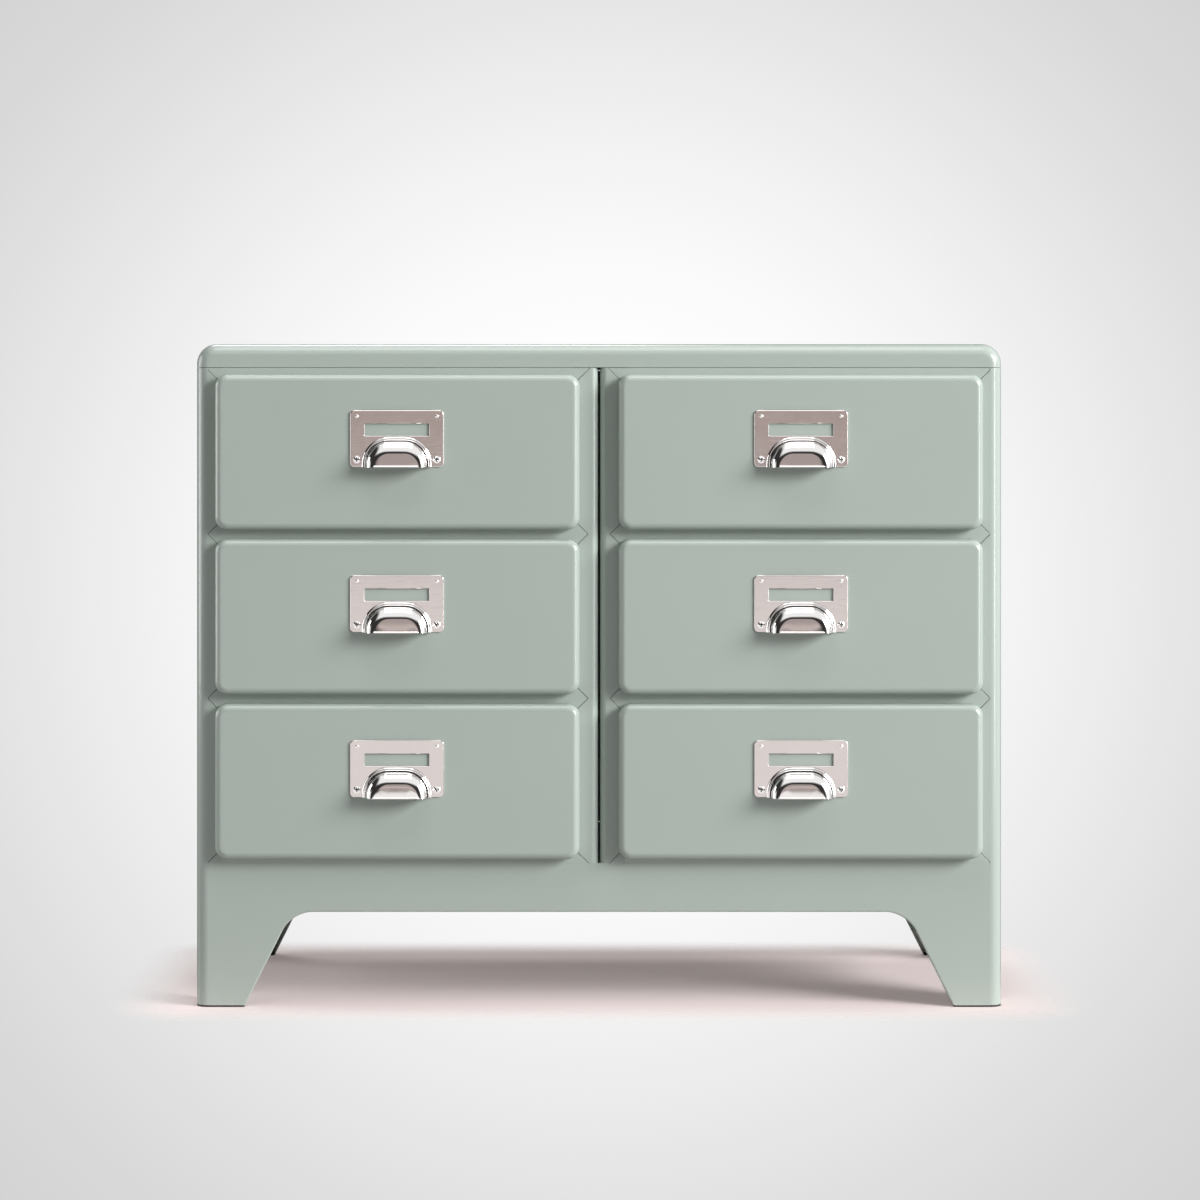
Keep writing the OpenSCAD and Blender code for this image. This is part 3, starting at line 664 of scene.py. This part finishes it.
def rail_levels(sizes):
    """Each rail's low and high edge, and whether its lower and upper corners are mitred."""
    fronts = [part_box(f"drawer_right_{row}_front") for row in ROWS]
    levels = {"bottom": [(BASE_TOP, fronts[0][0].z + sizes.lap_z, False, True)]}
    levels["top"] = [(fronts[-1][1].z - sizes.lap_z, FRAME_TOP, True, False)]
    pairs = zip(fronts, fronts[1:])
    levels["middle"] = [(a[1].z - sizes.lap_z, b[0].z + sizes.lap_z, True, True) for a, b in pairs]
    return levels


def opening_x(sizes):
    """The inner and the outer edge of the openings in the right column."""
    return FRONT_LOW.x + sizes.lap_x, FRONT_HIGH.x - sizes.lap_x


def mitre_reach(sizes, low, high, lower, upper):
    """How far a rail reaches over the outer and the inner stile."""
    most = (high - low) / (2 if lower and upper else 1)
    inner, outer = opening_x(sizes)
    outer_room = EDGE_X - sizes.corner_r - sizes.seam - outer
    inner_room = inner - SLIT_X - sizes.slit_edge_r - sizes.seam
    return min(most, outer_room), min(most, inner_room)


def start_rail(name, sizes, side, low, high, lower, upper, grow=0.0):
    """A rail's flat outline with mitred ends, grown all round where it is to cut a recess."""
    outer_reach, inner_reach = mitre_reach(sizes, low, high, lower, upper)
    inner, outer = [side * x for x in opening_x(sizes)]
    slant = grow * math.sqrt(2)
    floor = low - (slant if lower else grow)
    ceiling = high + (slant if upper else grow)
    start_panel(name, between(inner, outer), FACE_Y, (floor, ceiling))
    for x, outwards, reach in ((outer, side, outer_reach + grow), (inner, -side, inner_reach + grow)):
        tip = x + outwards * reach
        pick("EDGE", along="z", x=x)
        extrude(x=tip - x)
        if lower:
            pick("VERT", x=tip, z=floor)
            move(z=reach)
        if upper:
            pick("VERT", x=tip, z=ceiling)
            move(z=-reach)
    pick_all()
    bpy.ops.mesh.remove_doubles(threshold=1e-5)
    return bpy.context.object


def rail_cutters(sizes, side):
    """The recesses that a column's rails need in the stiles, as one cutter."""
    made = []
    for level in rail_levels(sizes).values():
        for low, high, lower, upper in level:
            cutter = start_rail("recess", sizes, side, low, high, lower, upper, sizes.seam)
            pick_all()
            move(y=-sizes.sheet_t)
            fill_out(y=2 * sizes.sheet_t + sizes.seam)
            made.append(cutter)
    return join("recesses", made)


class CABINET_OT_finishes(bpy.types.Operator):
    """Makes the finishes and gives the plain inner parts theirs"""

    bl_idname = "cabinet.finishes"
    bl_label = "Finishes"

    def execute(self, context):
        colours = context.scene.cabinet_colours
        enamel("sage_enamel", colours.sage, roughness=0.17, coat=0.2)
        enamel("inside_enamel", colours.inside, roughness=0.46, coat=0.0)
        # Bright zinc with streaks along the steel, and nickel brushed along the plate
        zinc = {"grain": (1500.0, 30.0, 1500.0), "relief": 0.00001, "metallic": 1.0}
        grained("zinc_plate", colours.zinc, (0.86, 1.08), (60.0, 3.0), (0.22, 0.16, 0.12), **zinc)
        nickel = {"grain": (40.0, 2500.0, 2500.0), "relief": 0.000012, "metallic": 1.0}
        grained("satin_nickel", colours.nickel, (0.96, 1.04), (45.0, 2.0), (0.04, 0.04, 0.06), **nickel)
        # Polished plating with a trace of haze, and a near-black finish painted into its grooves and screw
        # slots as painted shade
        grained("polished_chrome", colours.chrome, (0.98, 1.02), (120.0, 3.0), (0.035, 0.05), metallic=1.0)
        grained("dark_film", colours.painted_shade, (0.7, 1.3), (900.0, 2.0), (0.6, 0.2))
        # Cut nylon, and black plastic that is greyer where it is scuffed
        nylon = {"grain": (3000.0, 3000.0, 3000.0), "detail": 1.0, "relief": 0.00002}
        grained("natural_nylon", colours.nylon, (0.94, 1.06), (150.0, 3.0), (0.45, 0.0, 0.15), **nylon)
        black = {"grain": (1800.0, 1800.0, 1800.0), "relief": 0.00003}
        grained("moulded_black", colours.rubber, (0.8, 1.6), (90.0, 4.0), (0.5, 0.0, 0.2), **black)
        for subpart in frame["record"]["subparts"]:
            node = frame["nodes"][subpart["node"]]
            for slot in node.material_slots:
                slot.material = bpy.data.materials[FINISH_OF[subpart["material_slot"]]]
        return {"FINISHED"}


class CABINET_OT_top_cover(bpy.types.Operator):
    """Models the cover: a sheet rolled down at both sides, with a rounded apron in front and behind"""

    bl_idname = "cabinet.top_cover"
    bl_label = "Top cover"

    def execute(self, context):
        sizes = context.scene.cabinet_sheet
        low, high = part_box("top_cover")
        cover = start_block("top_cover_shell", low, high)
        round_edges(sizes.top_edge_r, steps=16, along="y", ax=high.x, z=high.z)
        for y in (low.y, high.y):
            round_edges(sizes.corner_r, steps=12, y=y, drop={"z": low.z})
        delete_faces(z=low.z)
        thicken(cover, sizes.sheet_t)
        soften(cover, sizes.cut_edge_r)
        dress(cover, "cabinet", "sage_paint", "top_cover")
        return {"FINISHED"}


class CABINET_OT_sides(bpy.types.Operator):
    """Models the folded sides with their outer stiles, rear flanges and side legs"""

    bl_idname = "cabinet.sides"
    bl_label = "Sides"

    def execute(self, context):
        sizes = context.scene.cabinet_sheet
        for name, s in COLUMNS.items():
            self.model_side(sizes, name, s)
        return {"FINISHED"}

    def model_side(self, sizes, name, s):
        edge = s * EDGE_X
        opening = s * opening_x(sizes)[1]
        flat = s * (EDGE_X - sizes.corner_r)
        flange = flat - s * sizes.rear_flange
        x = between(opening, edge)
        side = start_block(f"{name}_side_shell", (x[0], FACE_Y, SHEET_FOOT), (x[1], BACK_Y, FRAME_TOP))
        for place in ({"x": opening}, {"z": FRAME_TOP}, {"z": SHEET_FOOT}):
            delete_faces(**place)
        pick("EDGE", x=opening, y=BACK_Y)
        move(x=flange - opening)
        for y in (FACE_Y, BACK_Y):
            round_edges(sizes.corner_r, steps=12, x=edge, y=y)
        pick("EDGE", x=opening, y=FACE_Y)
        extrude(y=sizes.stile_fold)
        # Below the face frame the skirts take the place of the stile and the rear flange
        pick("FACE", x=between(flange, flat))
        bpy.ops.mesh.bisect(plane_co=(0, 0, BASE_TOP), plane_no=(0, 0, 1))
        delete_faces(x=between(flange, flat), z=between(SHEET_FOOT, BASE_TOP))
        front, back = FACE_Y + sizes.corner_r, BACK_Y - sizes.corner_r
        span = BACK_Y - FACE_Y - 2 * sizes.foot_w
        arch = cut_arch(sizes, "y", front, back, span, {"x": edge})
        fold_arch(sizes, arch, x=-s * sizes.arch_flange)
        thicken(side, sizes.sheet_t)
        cut(side, rail_cutters(sizes, s))
        leg_joint = {"x": between(flat, flat - s * sizes.sheet_t), "z": (0, BASE_TOP)}
        soften(side, sizes.cut_edge_r, flush=({"z": BASE_TOP}, leg_joint))
        dress(side, "cabinet", "sage_paint", f"{name}_side")


class CABINET_OT_inner_walls(bpy.types.Operator):
    """Models the two walls along the slit with their inner stiles"""

    bl_idname = "cabinet.inner_walls"
    bl_label = "Inner walls"

    def execute(self, context):
        sizes = context.scene.cabinet_sheet
        for name, s in COLUMNS.items():
            self.model_wall(sizes, name, s)
        return {"FINISHED"}

    def model_wall(self, sizes, name, s):
        slit = s * SLIT_X
        opening = s * opening_x(sizes)[0]
        x = between(slit, opening)
        low, high = (x[0], FACE_Y, BASE_TOP), (x[1], INNER_BACK_Y, FRAME_TOP)
        wall = start_block(f"{name}_inner_wall_shell", low, high)
        for place in ({"x": opening}, {"z": FRAME_TOP}, {"z": BASE_TOP}):
            delete_faces(**place)
        pick("EDGE", x=opening, y=INNER_BACK_Y)
        move(x=slit + s * sizes.rear_flange - opening)
        round_edges(sizes.slit_edge_r, steps=10, x=slit, y=FACE_Y)
        pick("EDGE", x=opening, y=FACE_Y)
        extrude(y=sizes.stile_fold)
        thicken(wall, sizes.sheet_t)
        cut(wall, rail_cutters(sizes, s))
        soften(wall, sizes.cut_edge_r, flush=({"z": BASE_TOP},))
        dress(wall, "cabinet", "sage_paint", f"{name}_inner_wall")


class CABINET_OT_rails(bpy.types.Operator):
    """Models the folded rails of the face frame, with mitred ends"""

    bl_idname = "cabinet.rails"
    bl_label = "Rails"

    def execute(self, context):
        sizes = context.scene.cabinet_sheet
        for name, level in rail_levels(sizes).items():
            rails = [self.model_rail(sizes, s, *edges) for s in COLUMNS.values() for edges in level]
            group = join(f"{name}_rails_shell", rails)
            soften(group, sizes.cut_edge_r, flush=({"z": BASE_TOP},))
            dress(group, "cabinet", "sage_paint", f"{name}_rails")
        return {"FINISHED"}

    def model_rail(self, sizes, s, low, high, lower, upper):
        rail = start_rail("rail", sizes, s, low, high, lower, upper)
        inner, outer = opening_x(sizes)
        for z in (low, high):
            pick("EDGE", along="x", z=z, x=between(s * inner, s * outer))
            extrude(y=sizes.rail_d)
        thicken(rail, sizes.sheet_t)
        return rail


class CABINET_OT_skirts(bpy.types.Operator):
    """Models the arched skirts with the front and rear faces of the legs"""

    bl_idname = "cabinet.skirts"
    bl_label = "Skirts"

    def execute(self, context):
        sizes = context.scene.cabinet_sheet
        for name, y, facing in (("front", FACE_Y, -1), ("rear", BACK_Y, 1)):
            half = EDGE_X - sizes.corner_r
            skirt = start_panel(f"{name}_skirt_shell", (-half, half), y, (SHEET_FOOT, BASE_TOP), facing)
            arch = cut_arch(sizes, "x", -half, half, 2 * (EDGE_X - sizes.foot_w), {"y": y})
            fold_arch(sizes, arch, y=-facing * sizes.arch_flange)
            pick("EDGE", y=y, z=BASE_TOP)
            extrude(y=-facing * sizes.skirt_ledge)
            thicken(skirt, sizes.sheet_t)
            soften(skirt)
            dress(skirt, "cabinet", "sage_paint", f"{name}_skirt", "leg_panels")
        return {"FINISHED"}


class CABINET_OT_foot_pads(bpy.types.Operator):
    """Models the black corner pads under the legs"""

    bl_idname = "cabinet.foot_pads"
    bl_label = "Foot pads"

    def execute(self, context):
        sizes = context.scene.cabinet_sheet
        pads = [self.model_pad(sizes, s, y, back) for s in (-1, 1) for y, back in ((FACE_Y, 1), (BACK_Y, -1))]
        group = join("foot_pads_shell", pads)
        soften(group, sizes.cut_edge_r)
        dress(group, "cabinet", "black_plastic", "foot_pads")
        return {"FINISHED"}

    def model_pad(self, sizes, s, y, back):
        edge = s * EDGE_X
        x = between(edge, edge - s * sizes.pad_w)
        depth = between(y, y + back * sizes.pad_w)
        centre = ((x[0] + x[1]) / 2, (depth[0] + depth[1]) / 2, 0)
        pad = start("pad", "plane", size=1, location=centre, scale=(sizes.pad_w, sizes.pad_w, 1))
        arm = sizes.foot_w - sizes.pad_w
        pick("EDGE", along="y", x=edge - s * sizes.pad_w)
        extrude(x=-s * arm)
        pick("EDGE", along="x", y=y + back * sizes.pad_w, x=x)
        extrude(y=back * arm)
        round_corners(sizes.corner_r, steps=10, x=edge, y=y)
        fill_out(z=SHEET_FOOT)
        return pad


# Drawers, modelled with the middle of the front's lower edge at x = 0, z = 0


class CABINET_OT_drawer_fronts(bpy.types.Operator):
    """Models the pressed drawer front with its flange and copies it to the six drawers"""

    bl_idname = "cabinet.drawer_fronts"
    bl_label = "Drawer fronts"

    def execute(self, context):
        sizes = context.scene.cabinet_drawer
        low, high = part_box(f"{DRAWERS[0]}_front")
        half, tall = (high.x - low.x) / 2, high.z - low.z
        front = start_block("front", (-half, low.y, 0), (half, high.y, tall))
        pick("FACE", y=high.y)
        bpy.ops.mesh.inset(thickness=sizes.front_flange)
        bpy.ops.mesh.delete(type="FACE")
        round_edges(sizes.front_corner_r, steps=10, along="y", y=between(low.y, high.y))
        round_edges(sizes.front_edge_r, steps=10, y=low.y)
        thicken(front, sizes.drawer_t)
        soften(front)
        dress_drawers(front, "front", "sage_paint")
        return {"FINISHED"}


class CABINET_OT_drawer_boxes(bpy.types.Operator):
    """Models the folded drawer box with its rim and copies it to the six drawers"""

    bl_idname = "cabinet.drawer_boxes"
    bl_label = "Drawer boxes"

    def execute(self, context):
        sizes = context.scene.cabinet_drawer
        low, high = drawer_box("box")
        box = start_block("box", low, high)
        delete_faces(z=high.z)
        pick("EDGE", z=high.z)
        extrude()
        shrink = ((high.x - sizes.box_rim) / high.x, 1 - 2 * sizes.box_rim / (high.y - low.y), 1)
        bpy.ops.transform.resize(value=shrink, center_override=(0, (low.y + high.y) / 2, high.z))
        inside = {"ax": (0, high.x - sizes.box_rim), "y": (low.y + sizes.box_rim, high.y - sizes.box_rim)}
        round_edges(sizes.rim_bend_r, steps=3, along="xy", z=high.z, drop=inside)
        round_edges(sizes.box_bend_r, steps=5, along="y", z=low.z)
        thicken(box, sizes.drawer_t)
        soften(box)
        dress_drawers(box, "box", "inside_paint")
        return {"FINISHED"}


class CABINET_OT_label_plates(bpy.types.Operator):
    """Models the label holder's plate with its window and card slot and copies it to the six drawers"""

    bl_idname = "cabinet.label_plates"
    bl_label = "Label plates"

    def execute(self, context):
        sizes = context.scene.cabinet_pull
        low, high = drawer_box("label_plate")
        half = sizes.window_w / 2
        head = high.z - sizes.window_drop
        sill = head - sizes.window_h
        plate = start_panel("plate", (low.x, high.x), low.y, (low.z, high.z))
        round_corners(sizes.plate_r, steps=8, ax=high.x)
        thicken(plate, high.y - low.y)
        window_low = (-half, low.y - sizes.card_lap, sill)
        window_high = (half, high.y + sizes.card_lap, head)
        window = start_block("window", window_low, window_high)
        round_edges(sizes.window_r, steps=3, along="y", ax=half)
        cut(plate, window)
        slot_low = (-half - sizes.card_lap, high.y - sizes.card_slot, sill - sizes.card_lap)
        slot_high = (half + sizes.card_lap, high.y + sizes.card_slot, high.z + sizes.card_lap)
        cut(plate, start_block("card_slot", slot_low, slot_high))
        in_window = {"ax": (0, half), "z": (sill, head)}
        soften(plate, sizes.plate_edge_r, steps=3, flush=(in_window, {"y": high.y}))
        soften(plate, sizes.window_edge_r)
        dress_drawers(plate, "label_plate", "nickel_plate")
        return {"FINISHED"}


class CABINET_OT_cup_pulls(bpy.types.Operator):
    """Models the cup pull from its bead to its face and lip and copies it to the six drawers"""

    bl_idname = "cabinet.cup_pulls"
    bl_label = "Cup pulls"

    def execute(self, context):
        sizes = context.scene.cabinet_pull
        low, high = drawer_box("cup_pull")
        depth = high.y - low.y
        section = self.section(sizes, depth)
        skirt = 2 * section[-1][0]
        cup = start_panel("cup", (low.x, high.x), high.y, (low.z - skirt, high.z))
        round_corners(sizes.cup_r, steps=18, z=high.z)
        self.crown(sizes, low, high)
        pick("FACE", y=high.y)
        rise(section)
        self.lower_shoulder(sizes, section, low, high)
        pick_all()
        bpy.ops.mesh.bisect(plane_co=(0, 0, low.z), plane_no=(0, 0, 1), clear_inner=True)
        thicken(cup, sizes.cup_t)
        soften(cup)
        # The flat floor of the groove inside the bead gets a near-black finish: painted shade
        paint(cup, "dark_film", y=high.y - sizes.cup_t)
        lip = self.model_lip(sizes, low, high.x - 2 * sizes.bead_r - sizes.groove_w - sizes.shoulder_r)
        cup = join("cup", [cup, lip])
        dress_drawers(cup, "cup_pull", "chrome_plate")
        return {"FINISHED"}

    def crown(self, sizes, low, high):
        """Raises the top of the outline towards its middle, along a parabola."""
        pick("EDGE", along="x", z=high.z)
        bpy.ops.mesh.subdivide(number_cuts=5)
        mesh = bmesh.from_edit_mesh(bpy.context.object.data)
        for x in sorted({round(abs(v.co.x), 6) for v in mesh.verts if v.co.z > low.z}):
            pick("VERT", ax=x, z=(low.z, high.z))
            move(z=sizes.cup_crown * (1 - (x / high.x) ** 2))

    def lower_shoulder(self, sizes, section, low, high):
        """Moves each ring of the shoulder, and all inside it, a little further down."""
        wall = 2 * sizes.bead_r + sizes.groove_w
        rings = [h for x, h in section if wall < x < wall + sizes.shoulder_r]
        for h in rings:
            pick("VERT", y=(low.y, high.y - h))
            move(z=-sizes.shoulder_drop / len(rings))

    def section(self, sizes, depth):
        """The bead, side wall, shoulder and swell of the face, as offsets and heights over the plate."""
        bead = [(x, sizes.cup_t + h) for x, h in arc(sizes.bead_r, 0, 180, steps=10)]
        wall = 2 * sizes.bead_r + sizes.groove_w
        swell = arc(sizes.face_r, FACE_TILT, LIP_TILT, steps=6)
        shoulder = arc(sizes.shoulder_r, 0, FACE_TILT, steps=12)
        top = depth - sizes.lip_proud
        start_x, start_h = swell[0]
        edge_h = top - (swell[-1][1] - start_h)
        side = [(wall + x, edge_h - shoulder[-1][1] + h) for x, h in shoulder]
        face = [(side[-1][0] + x - start_x, edge_h + h - start_h) for x, h in swell[1:]]
        return [(0, 0)] + bead + [(wall, sizes.cup_t)] + side + face

    def model_lip(self, sizes, low, half):
        centre = (0, low.y + sizes.lip_r, low.z + sizes.lip_r)
        bar = {"radius": sizes.lip_r, "depth": 2 * half, "rotation": (0, math.pi / 2, 0)}
        lip = start("lip", "cylinder", vertices=16, location=centre, **bar)
        for x in (-half, half):
            round_edges(sizes.lip_r * LIP_ROUND, steps=4, x=x)
        soften(lip)
        return lip


class CABINET_OT_fasteners(bpy.types.Operator):
    """Models a rivet and a cross-slotted screw and copies them to the label holders"""

    bl_idname = "cabinet.fasteners"
    bl_label = "Rivets and screws"

    def execute(self, context):
        sizes = context.scene.cabinet_pull
        low, high = drawer_box("label_plate")
        x = high.x - sizes.fix_x
        rivet = self.model_head("rivet", sizes.rivet_r, high.y - low.y)
        screw = self.model_head("screw", sizes.screw_r, high.y - low.y)
        self.cut_cross(screw, sizes.screw_r, sizes.slot_w)
        group = []
        for s in (-1, 1):
            group.append(copy_to(rivet, "rivet", (s * x, low.y, high.z - sizes.fix_top)))
            group.append(copy_to(screw, "screw", (s * x, low.y, low.z + sizes.fix_bottom)))
        dress_drawers(join("fasteners", group), "pull_screws", "chrome_plate")
        for piece in (rivet, screw):
            bpy.data.objects.remove(piece)
        return {"FINISHED"}

    def model_head(self, name, radius, stem):
        """A head domed in front of y = 0, on a stem behind it."""
        height = radius * HEAD_DOME
        dome = (radius * radius + height * height) / (2 * height)
        steps = 7
        rings = [radius * (1 - i / steps) for i in range(steps)]
        middle, turn = (0, stem / 2, 0), (math.pi / 2, 0, 0)
        head = start(name, "cylinder", vertices=32, radius=radius, depth=stem, location=middle, rotation=turn)
        pick("FACE", y=0)
        rise([(radius - r, math.sqrt(dome * dome - r * r) - dome + height) for r in rings])
        soften(head)
        return head

    def cut_cross(self, head, radius, slot_w):
        """Two slots across a head, down to a third of its height."""
        bottom = -radius * HEAD_DOME / 3
        reach = radius * SLOT_REACH
        for half_x, half_z in ((reach, slot_w / 2), (slot_w / 2, reach)):
            cut(head, start_block("slot", (-half_x, -radius, -half_z), (half_x, bottom, half_z)))
        soften(head)
        # The floors of the slots get a near-black finish: painted shade
        paint(head, "dark_film", y=bottom)


class CABINET_OT_stage(bpy.types.Operator):
    """Sets the camera, the lamps, the pale floor and the white surroundings"""

    bl_idname = "cabinet.stage"
    bl_label = "Studio"

    def execute(self, context):
        stage = context.scene.cabinet_stage
        self.add_camera(context, stage)
        for name in ("key", "strip", "top", "side", "back"):
            sizes = getattr(stage, f"{name}_size")
            self.add_lamp(name, getattr(stage, name), sizes, getattr(stage, f"{name}_power"))
        self.add_world(context, stage)
        self.add_floor(context)
        context.scene.view_settings.view_transform = "Standard"
        return {"FINISHED"}

    def add_camera(self, context, stage):
        bpy.ops.object.camera_add(location=stage.camera, rotation=(math.pi / 2, 0, 0))
        camera = context.object
        camera.data.lens = stage.lens
        camera.data.sensor_width = 36
        camera.data.shift_y = -stage.drop
        context.scene.camera = camera

    def add_lamp(self, name, place, sizes, power):
        """A rectangular lamp that faces the middle of the cabinet."""
        aim = Vector((0, MIDDLE_Y, FRAME_TOP / 2))
        turn = (aim - Vector(place)).to_track_quat("-Z", "Y").to_euler()
        bpy.ops.object.light_add(type="AREA", location=place, rotation=turn)
        lamp = bpy.context.object
        lamp.name = name
        lamp.data.shape = "RECTANGLE"
        lamp.data.size, lamp.data.size_y = sizes
        lamp.data.energy = power

    def add_world(self, context, stage):
        """Even light on the object, a white backdrop for the camera and a studio for reflections."""
        world = bpy.data.worlds.new("studio")
        board = Board(world)
        side, depth, height = board.parts(board.node("TexCoord", output="Generated"))
        ground, sky = shade_of(BLUSH[:3], stage.glow), shade_of(WHITE[:3], stage.sky)
        even = board.mix(height.limit(-0.45, -0.08), ground, sky)
        rays = board.node("LightPath").socket.node.outputs
        mirrored = Tone(board, rays["Is Glossy Ray"]) + Tone(board, rays["Is Transmission Ray"])
        light = board.mix(mirrored, even, self.room(board, side, depth, height))
        colours = board.mix(Tone(board, rays["Is Camera Ray"]), light, self.backdrop(board, side, height))
        background = board.node("Background", {}, {"Color": colours, "Strength": 1.0})
        board.node("OutputWorld", {}, {"Surface": background})
        context.scene.world = world

    def backdrop(self, board, side, height):
        """White in the middle, greyer towards the rim of the picture and pale again outside it."""
        off_axis = distance(side, height + VIEW_DROP)
        rim = off_axis.limit(0.04, 0.26)
        outside = off_axis.limit(0.27, 0.42)
        return board.mix(outside, board.mix(rim, WHITE, RIM_GREY), FAR_GREY)

    def room(self, board, side, depth, height):
        """Grey bands in the middle of a dark room with white walls, a pale ground and a dark far end."""
        bands = board.mix(height.limit(-0.025, 0.0), LOW_BAND, MIDDLE_BAND)
        bands = board.mix(height.limit(0.005, 0.035), bands, HIGH_BAND)
        room = board.mix(height.limit(-0.038, -0.028), BLUSH, bands)
        around = distance(side, height - VIEW_DROP).limit(0.13, 0.18)
        right = side.limit(0.48, 0.62)
        left = (0 - side).limit(0.70, 0.84) * (1 - height.limit(0.15, 0.35))
        above = height.limit(0.34, 0.54) * side.limit(-0.60, -0.40)
        ground = (0 - height).limit(0.03, 0.06)
        far_end = depth.limit(0.45, 0.65)
        walls = ((around, DARK), (right, WHITE), (left, WHITE), (above, WHITE))
        for share, there in (*walls, (ground, BLUSH), (far_end, DARK)):
            room = board.mix(share, room, there)
        return room

    def add_floor(self, context):
        """A pale floor that fades into the white backdrop a little way from the object."""
        only(None)
        centre = (0, MIDDLE_Y, 0)
        bpy.ops.mesh.primitive_circle_add(vertices=96, radius=FLOOR_R, fill_type="NGON", location=centre)
        bpy.ops.object.transform_apply(location=True, rotation=True, scale=True)
        floor = context.object
        floor.name = "floor"
        board, place = new_finish("pale_floor")
        x, y, _ = board.parts(place)
        beside = (abs(x) - EDGE_X).at_least(0)
        before = (abs(y - MIDDLE_Y) - (BACK_Y - MIDDLE_Y)).at_least(0)
        fade = distance(beside, before).limit(-0.01, 0.11)
        rgb = tuple(context.scene.cabinet_colours.floor) + (1.0,)
        cloth = board.node("BsdfDiffuse", {}, {"Color": rgb})
        glow = board.node("Emission", {}, {"Color": rgb, "Strength": 1.0})
        seen = board.node("LightPath", output="Is Camera Ray")
        cloth = board.node("MixShader", {}, {0: FLOOR_GLOW * seen, 1: cloth, 2: glow})
        clear = board.node("BsdfTransparent", {}, {"Color": WHITE})
        surface = board.node("MixShader", {}, {0: fade, 1: cloth, 2: clear})
        board.node("OutputMaterial", {}, {"Surface": surface})
        floor.data.materials.append(bpy.data.materials["pale_floor"])


GROUPS = {
    "cabinet_sheet": CabinetSheetSizes,
    "cabinet_drawer": CabinetDrawerSizes,
    "cabinet_pull": CabinetPullSizes,
    "cabinet_colours": CabinetColours,
    "cabinet_stage": CabinetStage,
}
OPERATORS = (
    CABINET_OT_finishes,
    CABINET_OT_top_cover,
    CABINET_OT_sides,
    CABINET_OT_inner_walls,
    CABINET_OT_rails,
    CABINET_OT_skirts,
    CABINET_OT_foot_pads,
    CABINET_OT_drawer_fronts,
    CABINET_OT_drawer_boxes,
    CABINET_OT_label_plates,
    CABINET_OT_cup_pulls,
    CABINET_OT_fasteners,
    CABINET_OT_stage,
)


class CABINET_PT_pieces(bpy.types.Panel):
    """Lists the cabinet's sizes, colours and modelling steps"""

    bl_idname = "CABINET_PT_pieces"
    bl_label = "Drawer cabinet"
    bl_space_type = "VIEW_3D"
    bl_region_type = "UI"
    bl_category = "Cabinet"

    def draw(self, context):
        for name, group in GROUPS.items():
            box = self.layout.box()
            box.label(text=group.__doc__)
            for key in group.__annotations__:
                box.prop(getattr(context.scene, name), key)
        for operator in OPERATORS:
            self.layout.operator(operator.bl_idname)


CLASSES = (*GROUPS.values(), *OPERATORS, CABINET_PT_pieces)


def register():
    for each in CLASSES:
        bpy.utils.register_class(each)
    for name, group in GROUPS.items():
        setattr(bpy.types.Scene, name, PointerProperty(type=group))


def unregister():
    for name in GROUPS:
        delattr(bpy.types.Scene, name)
    for each in reversed(CLASSES):
        bpy.utils.unregister_class(each)


def main():
    register()
    for operator in OPERATORS:
        step = operator.bl_idname.split(".")[1]
        getattr(bpy.ops.cabinet, step)()


if __name__ == "__main__":
    main()
